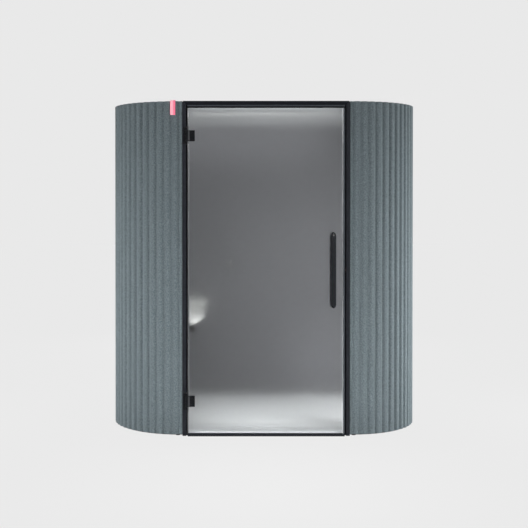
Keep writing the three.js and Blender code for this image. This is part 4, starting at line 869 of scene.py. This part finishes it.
# Ceiling light
# A folded white tray let into the ceiling, with an opal diffuser lit from behind.
LIGHT_STRENGTH = 0.08
LIGHT_COLOUR = (255, 250, 242)

tray_white = new_finish("white_tray_coat", 0.4)
mottle(tray_white, (218, 219, 221), (228, 229, 230), 40)
tray = eased_copy("light_housing", 0.0005)
fit_out(tray, "cabin", tray_white, "white_metal", "light_housing")

opal = new_finish("lit_opal", 0.4, Emission_Strength=LIGHT_STRENGTH, Emission_Color=paint_value(*LIGHT_COLOUR))
mottle(opal, (240, 238, 232), (248, 247, 243), 60)
diffuser = eased_copy("light_diffuser", 0.0008)
fit_out(diffuser, "cabin", opal, "diffuser", "light_diffuser")

# Ceiling sensor and power supply
# A white presence sensor under the ceiling and a dark moulded supply on top of it.
white_plastic = new_finish("white_moulded_plastic", 0.35)
mottle(white_plastic, (222, 222, 222), (230, 230, 230), 80)
emboss(white_plastic, place_noise(white_plastic, 1200).outputs["Fac"], 0.06, 0.0003)
sensor = eased_copy("presence_sensor", 0.0008, angle=50)
fit_out(sensor, "cabin", white_plastic, "white_plastic", "presence_sensor")
supply_grey = new_finish("supply_case_plastic", 0.5)
mottle(supply_grey, (46, 46, 48), (54, 54, 57), 90)
supply = eased_copy("power_supply", 0.0015)
fit_out(supply, "cabin", supply_grey, "supply_case", "power_supply")

# Worktop
# A white melamine board across the left end with an upstand along the wall, on folded black angles.
table_board = new_finish("pale_worktop", 0.5)
mottle(table_board, (234, 234, 230), (241, 241, 237), 25)
emboss(table_board, place_noise(table_board, 700).outputs["Fac"], 0.08, 0.0003)
for node, ease in (("worktop", 0.0025), ("worktop_upstand", 0.0015)):
    board = eased_copy(node, ease, segments=3)
    fit_out(board, "cabin", table_board, "white_board", node)
for place in ("front", "rear", "side"):
    angle_iron = eased_copy(f"worktop_bracket_{place}", 0.0012)
    fit_out(angle_iron, "cabin", hinge_black, "bracket_black", f"worktop_bracket_{place}")

# Power module and control plate
# A black moulded block of three sockets on the worktop, and a black plate with a push button on the rear lining.
PLATE_SCREW_FROM_MIDDLE = 0.031

module = eased_copy("power_module", 0.0008)
fit_out(module, "cabin", black_plastic, "black_plastic", "power_module")
plate = eased_copy("control_plate", 0.0012)
fit_out(plate, "cabin", black_plastic, "black_plastic", "control_plate")
plate_low, plate_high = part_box("control_plate")
plate_middle = (plate_low + plate_high) / 2
for side, sign in (("below", -1), ("above", 1)):
    place = (plate_middle.x, plate_low.y, plate_middle.z + sign * PLATE_SCREW_FROM_MIDDLE)
    socket_screw(f"plate_screw_{side}", place, "cabin", steel, "steel")
button = eased_copy("control_button", 0.0005)
fit_out(button, "button", white_plastic, "white_plastic", "control_button")

# Fabric tab
# A narrow pink woven ribbon, plain on one half and deeper on the other, folded over the rim left of the frame.
# It is stitched down inside the rim and hangs free in front.
TAB_WIDTH = 0.0335
TAB_DROP = 0.092
TAB_FOLD = 0.0095
TAB_RISE = 0.0063
TAB_RETURN = 0.002
TAB_ROWS = 40
TAB_COLUMNS = 10
TAB_WEAVE = 0.0006
TAB_SEAM = 0.0018
TAB_ANGLE = math.radians(5.1)

tab_low, tab_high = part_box("fabric_tab")
arc_centre = Vector((felt_high.x - FELT_MARGIN, felt_low.y + corner_radius, 0))
fold_length = math.pi * math.sqrt((TAB_FOLD ** 2 + TAB_RISE ** 2) / 2)
tab_length = TAB_DROP + fold_length + TAB_RETURN
bpy.ops.object.select_all(action="DESELECT")
bpy.ops.mesh.primitive_grid_add(x_subdivisions=TAB_COLUMNS, y_subdivisions=TAB_ROWS, size=1)
tab = bpy.context.object
tab.name = tab.data.name = "pink_ribbon"
bpy.ops.object.mode_set(mode="EDIT")
bpy.ops.mesh.select_all(action="SELECT")
bpy.ops.transform.resize(value=(TAB_WIDTH, tab_length, 1), center_override=(0, 0, 0))
bpy.ops.object.mode_set(mode="OBJECT")
lie = corner_radius + 0.0008
for vert in tab.data.vertices:
    along = vert.co.y + tab_length / 2
    if along < TAB_DROP:
        away, up = 0.0008 * math.sin(along * 60), along - TAB_DROP
    elif along < TAB_DROP + fold_length:
        turn = math.pi * (along - TAB_DROP) / fold_length
        away, up = -TAB_FOLD * (1 - math.cos(turn)), TAB_RISE * math.sin(turn)
    else:
        away, up = -2 * TAB_FOLD, TAB_DROP + fold_length - along
    vert.co = (vert.co.x, -lie - max(away, -2 * TAB_FOLD), felt_high.z + 0.0006 + up)
select_only(tab)
bpy.ops.object.mode_set(mode="EDIT")
bpy.ops.mesh.select_all(action="SELECT")
bpy.ops.transform.rotate(value=TAB_ANGLE, orient_axis="Z", center_override=(0, 0, 0))
bpy.ops.transform.translate(value=arc_centre)
bpy.ops.object.mode_set(mode="OBJECT")
apply_modifier(tab, "SOLIDIFY", thickness=TAB_WEAVE, offset=0)
bpy.ops.object.shade_smooth_by_angle(angle=math.radians(40))

# The ribbon's emission in its own pink is a painted glow that lifts its brightness; it is no lamp.
ribbon_painted_glow = new_finish("pink_ribbon", 0.7, Sheen_Weight=0.2, Emission_Strength=0.40)
ribbon_tree = ribbon_painted_glow.node_tree
ribbon_place = ribbon_tree.nodes.new("ShaderNodeTexCoord")
ribbon_axes = ribbon_tree.nodes.new("ShaderNodeSeparateXYZ")
ribbon_half = ribbon_tree.nodes.new("ShaderNodeMapRange")
tab_middle = (tab_low.x + tab_high.x) / 2 + TAB_SEAM
ribbon_half.inputs["From Min"].default_value = tab_middle - 0.004
ribbon_half.inputs["From Max"].default_value = tab_middle + 0.004
ribbon_mix = ribbon_tree.nodes.new("ShaderNodeMix")
ribbon_mix.data_type = "RGBA"
ribbon_tree.links.new(ribbon_place.outputs["Object"], ribbon_axes.inputs[0])
ribbon_tree.links.new(ribbon_axes.outputs["X"], ribbon_half.inputs["Value"])
ribbon_tree.links.new(ribbon_half.outputs["Result"], ribbon_mix.inputs["Factor"])
weave = place_noise(ribbon_painted_glow, 900, stretch=(1, 1, 3))
for socket, dark, light in (("A", (250, 166, 181), (254, 184, 197)), ("B", (238, 108, 138), (246, 128, 154))):
    tones = ribbon_tree.nodes.new("ShaderNodeValToRGB")
    tones.color_ramp.elements[0].color = paint_value(*dark)
    tones.color_ramp.elements[1].color = paint_value(*light)
    ribbon_tree.links.new(weave.outputs["Fac"], tones.inputs["Fac"])
    ribbon_tree.links.new(tones.outputs["Color"], ribbon_mix.inputs[6 if socket == "A" else 7])
for socket in ("Base Color", "Emission Color"):
    ribbon_tree.links.new(ribbon_mix.outputs[2], ribbon_tree.nodes["Principled BSDF"].inputs[socket])
emboss(ribbon_painted_glow, weave.outputs["Fac"], 0.3, 0.0003)
fit_out(tab, "cabin", ribbon_painted_glow, "tab_fabric", "fabric_tab")

# Sizes of the solid and the dressed pod
low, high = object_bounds()
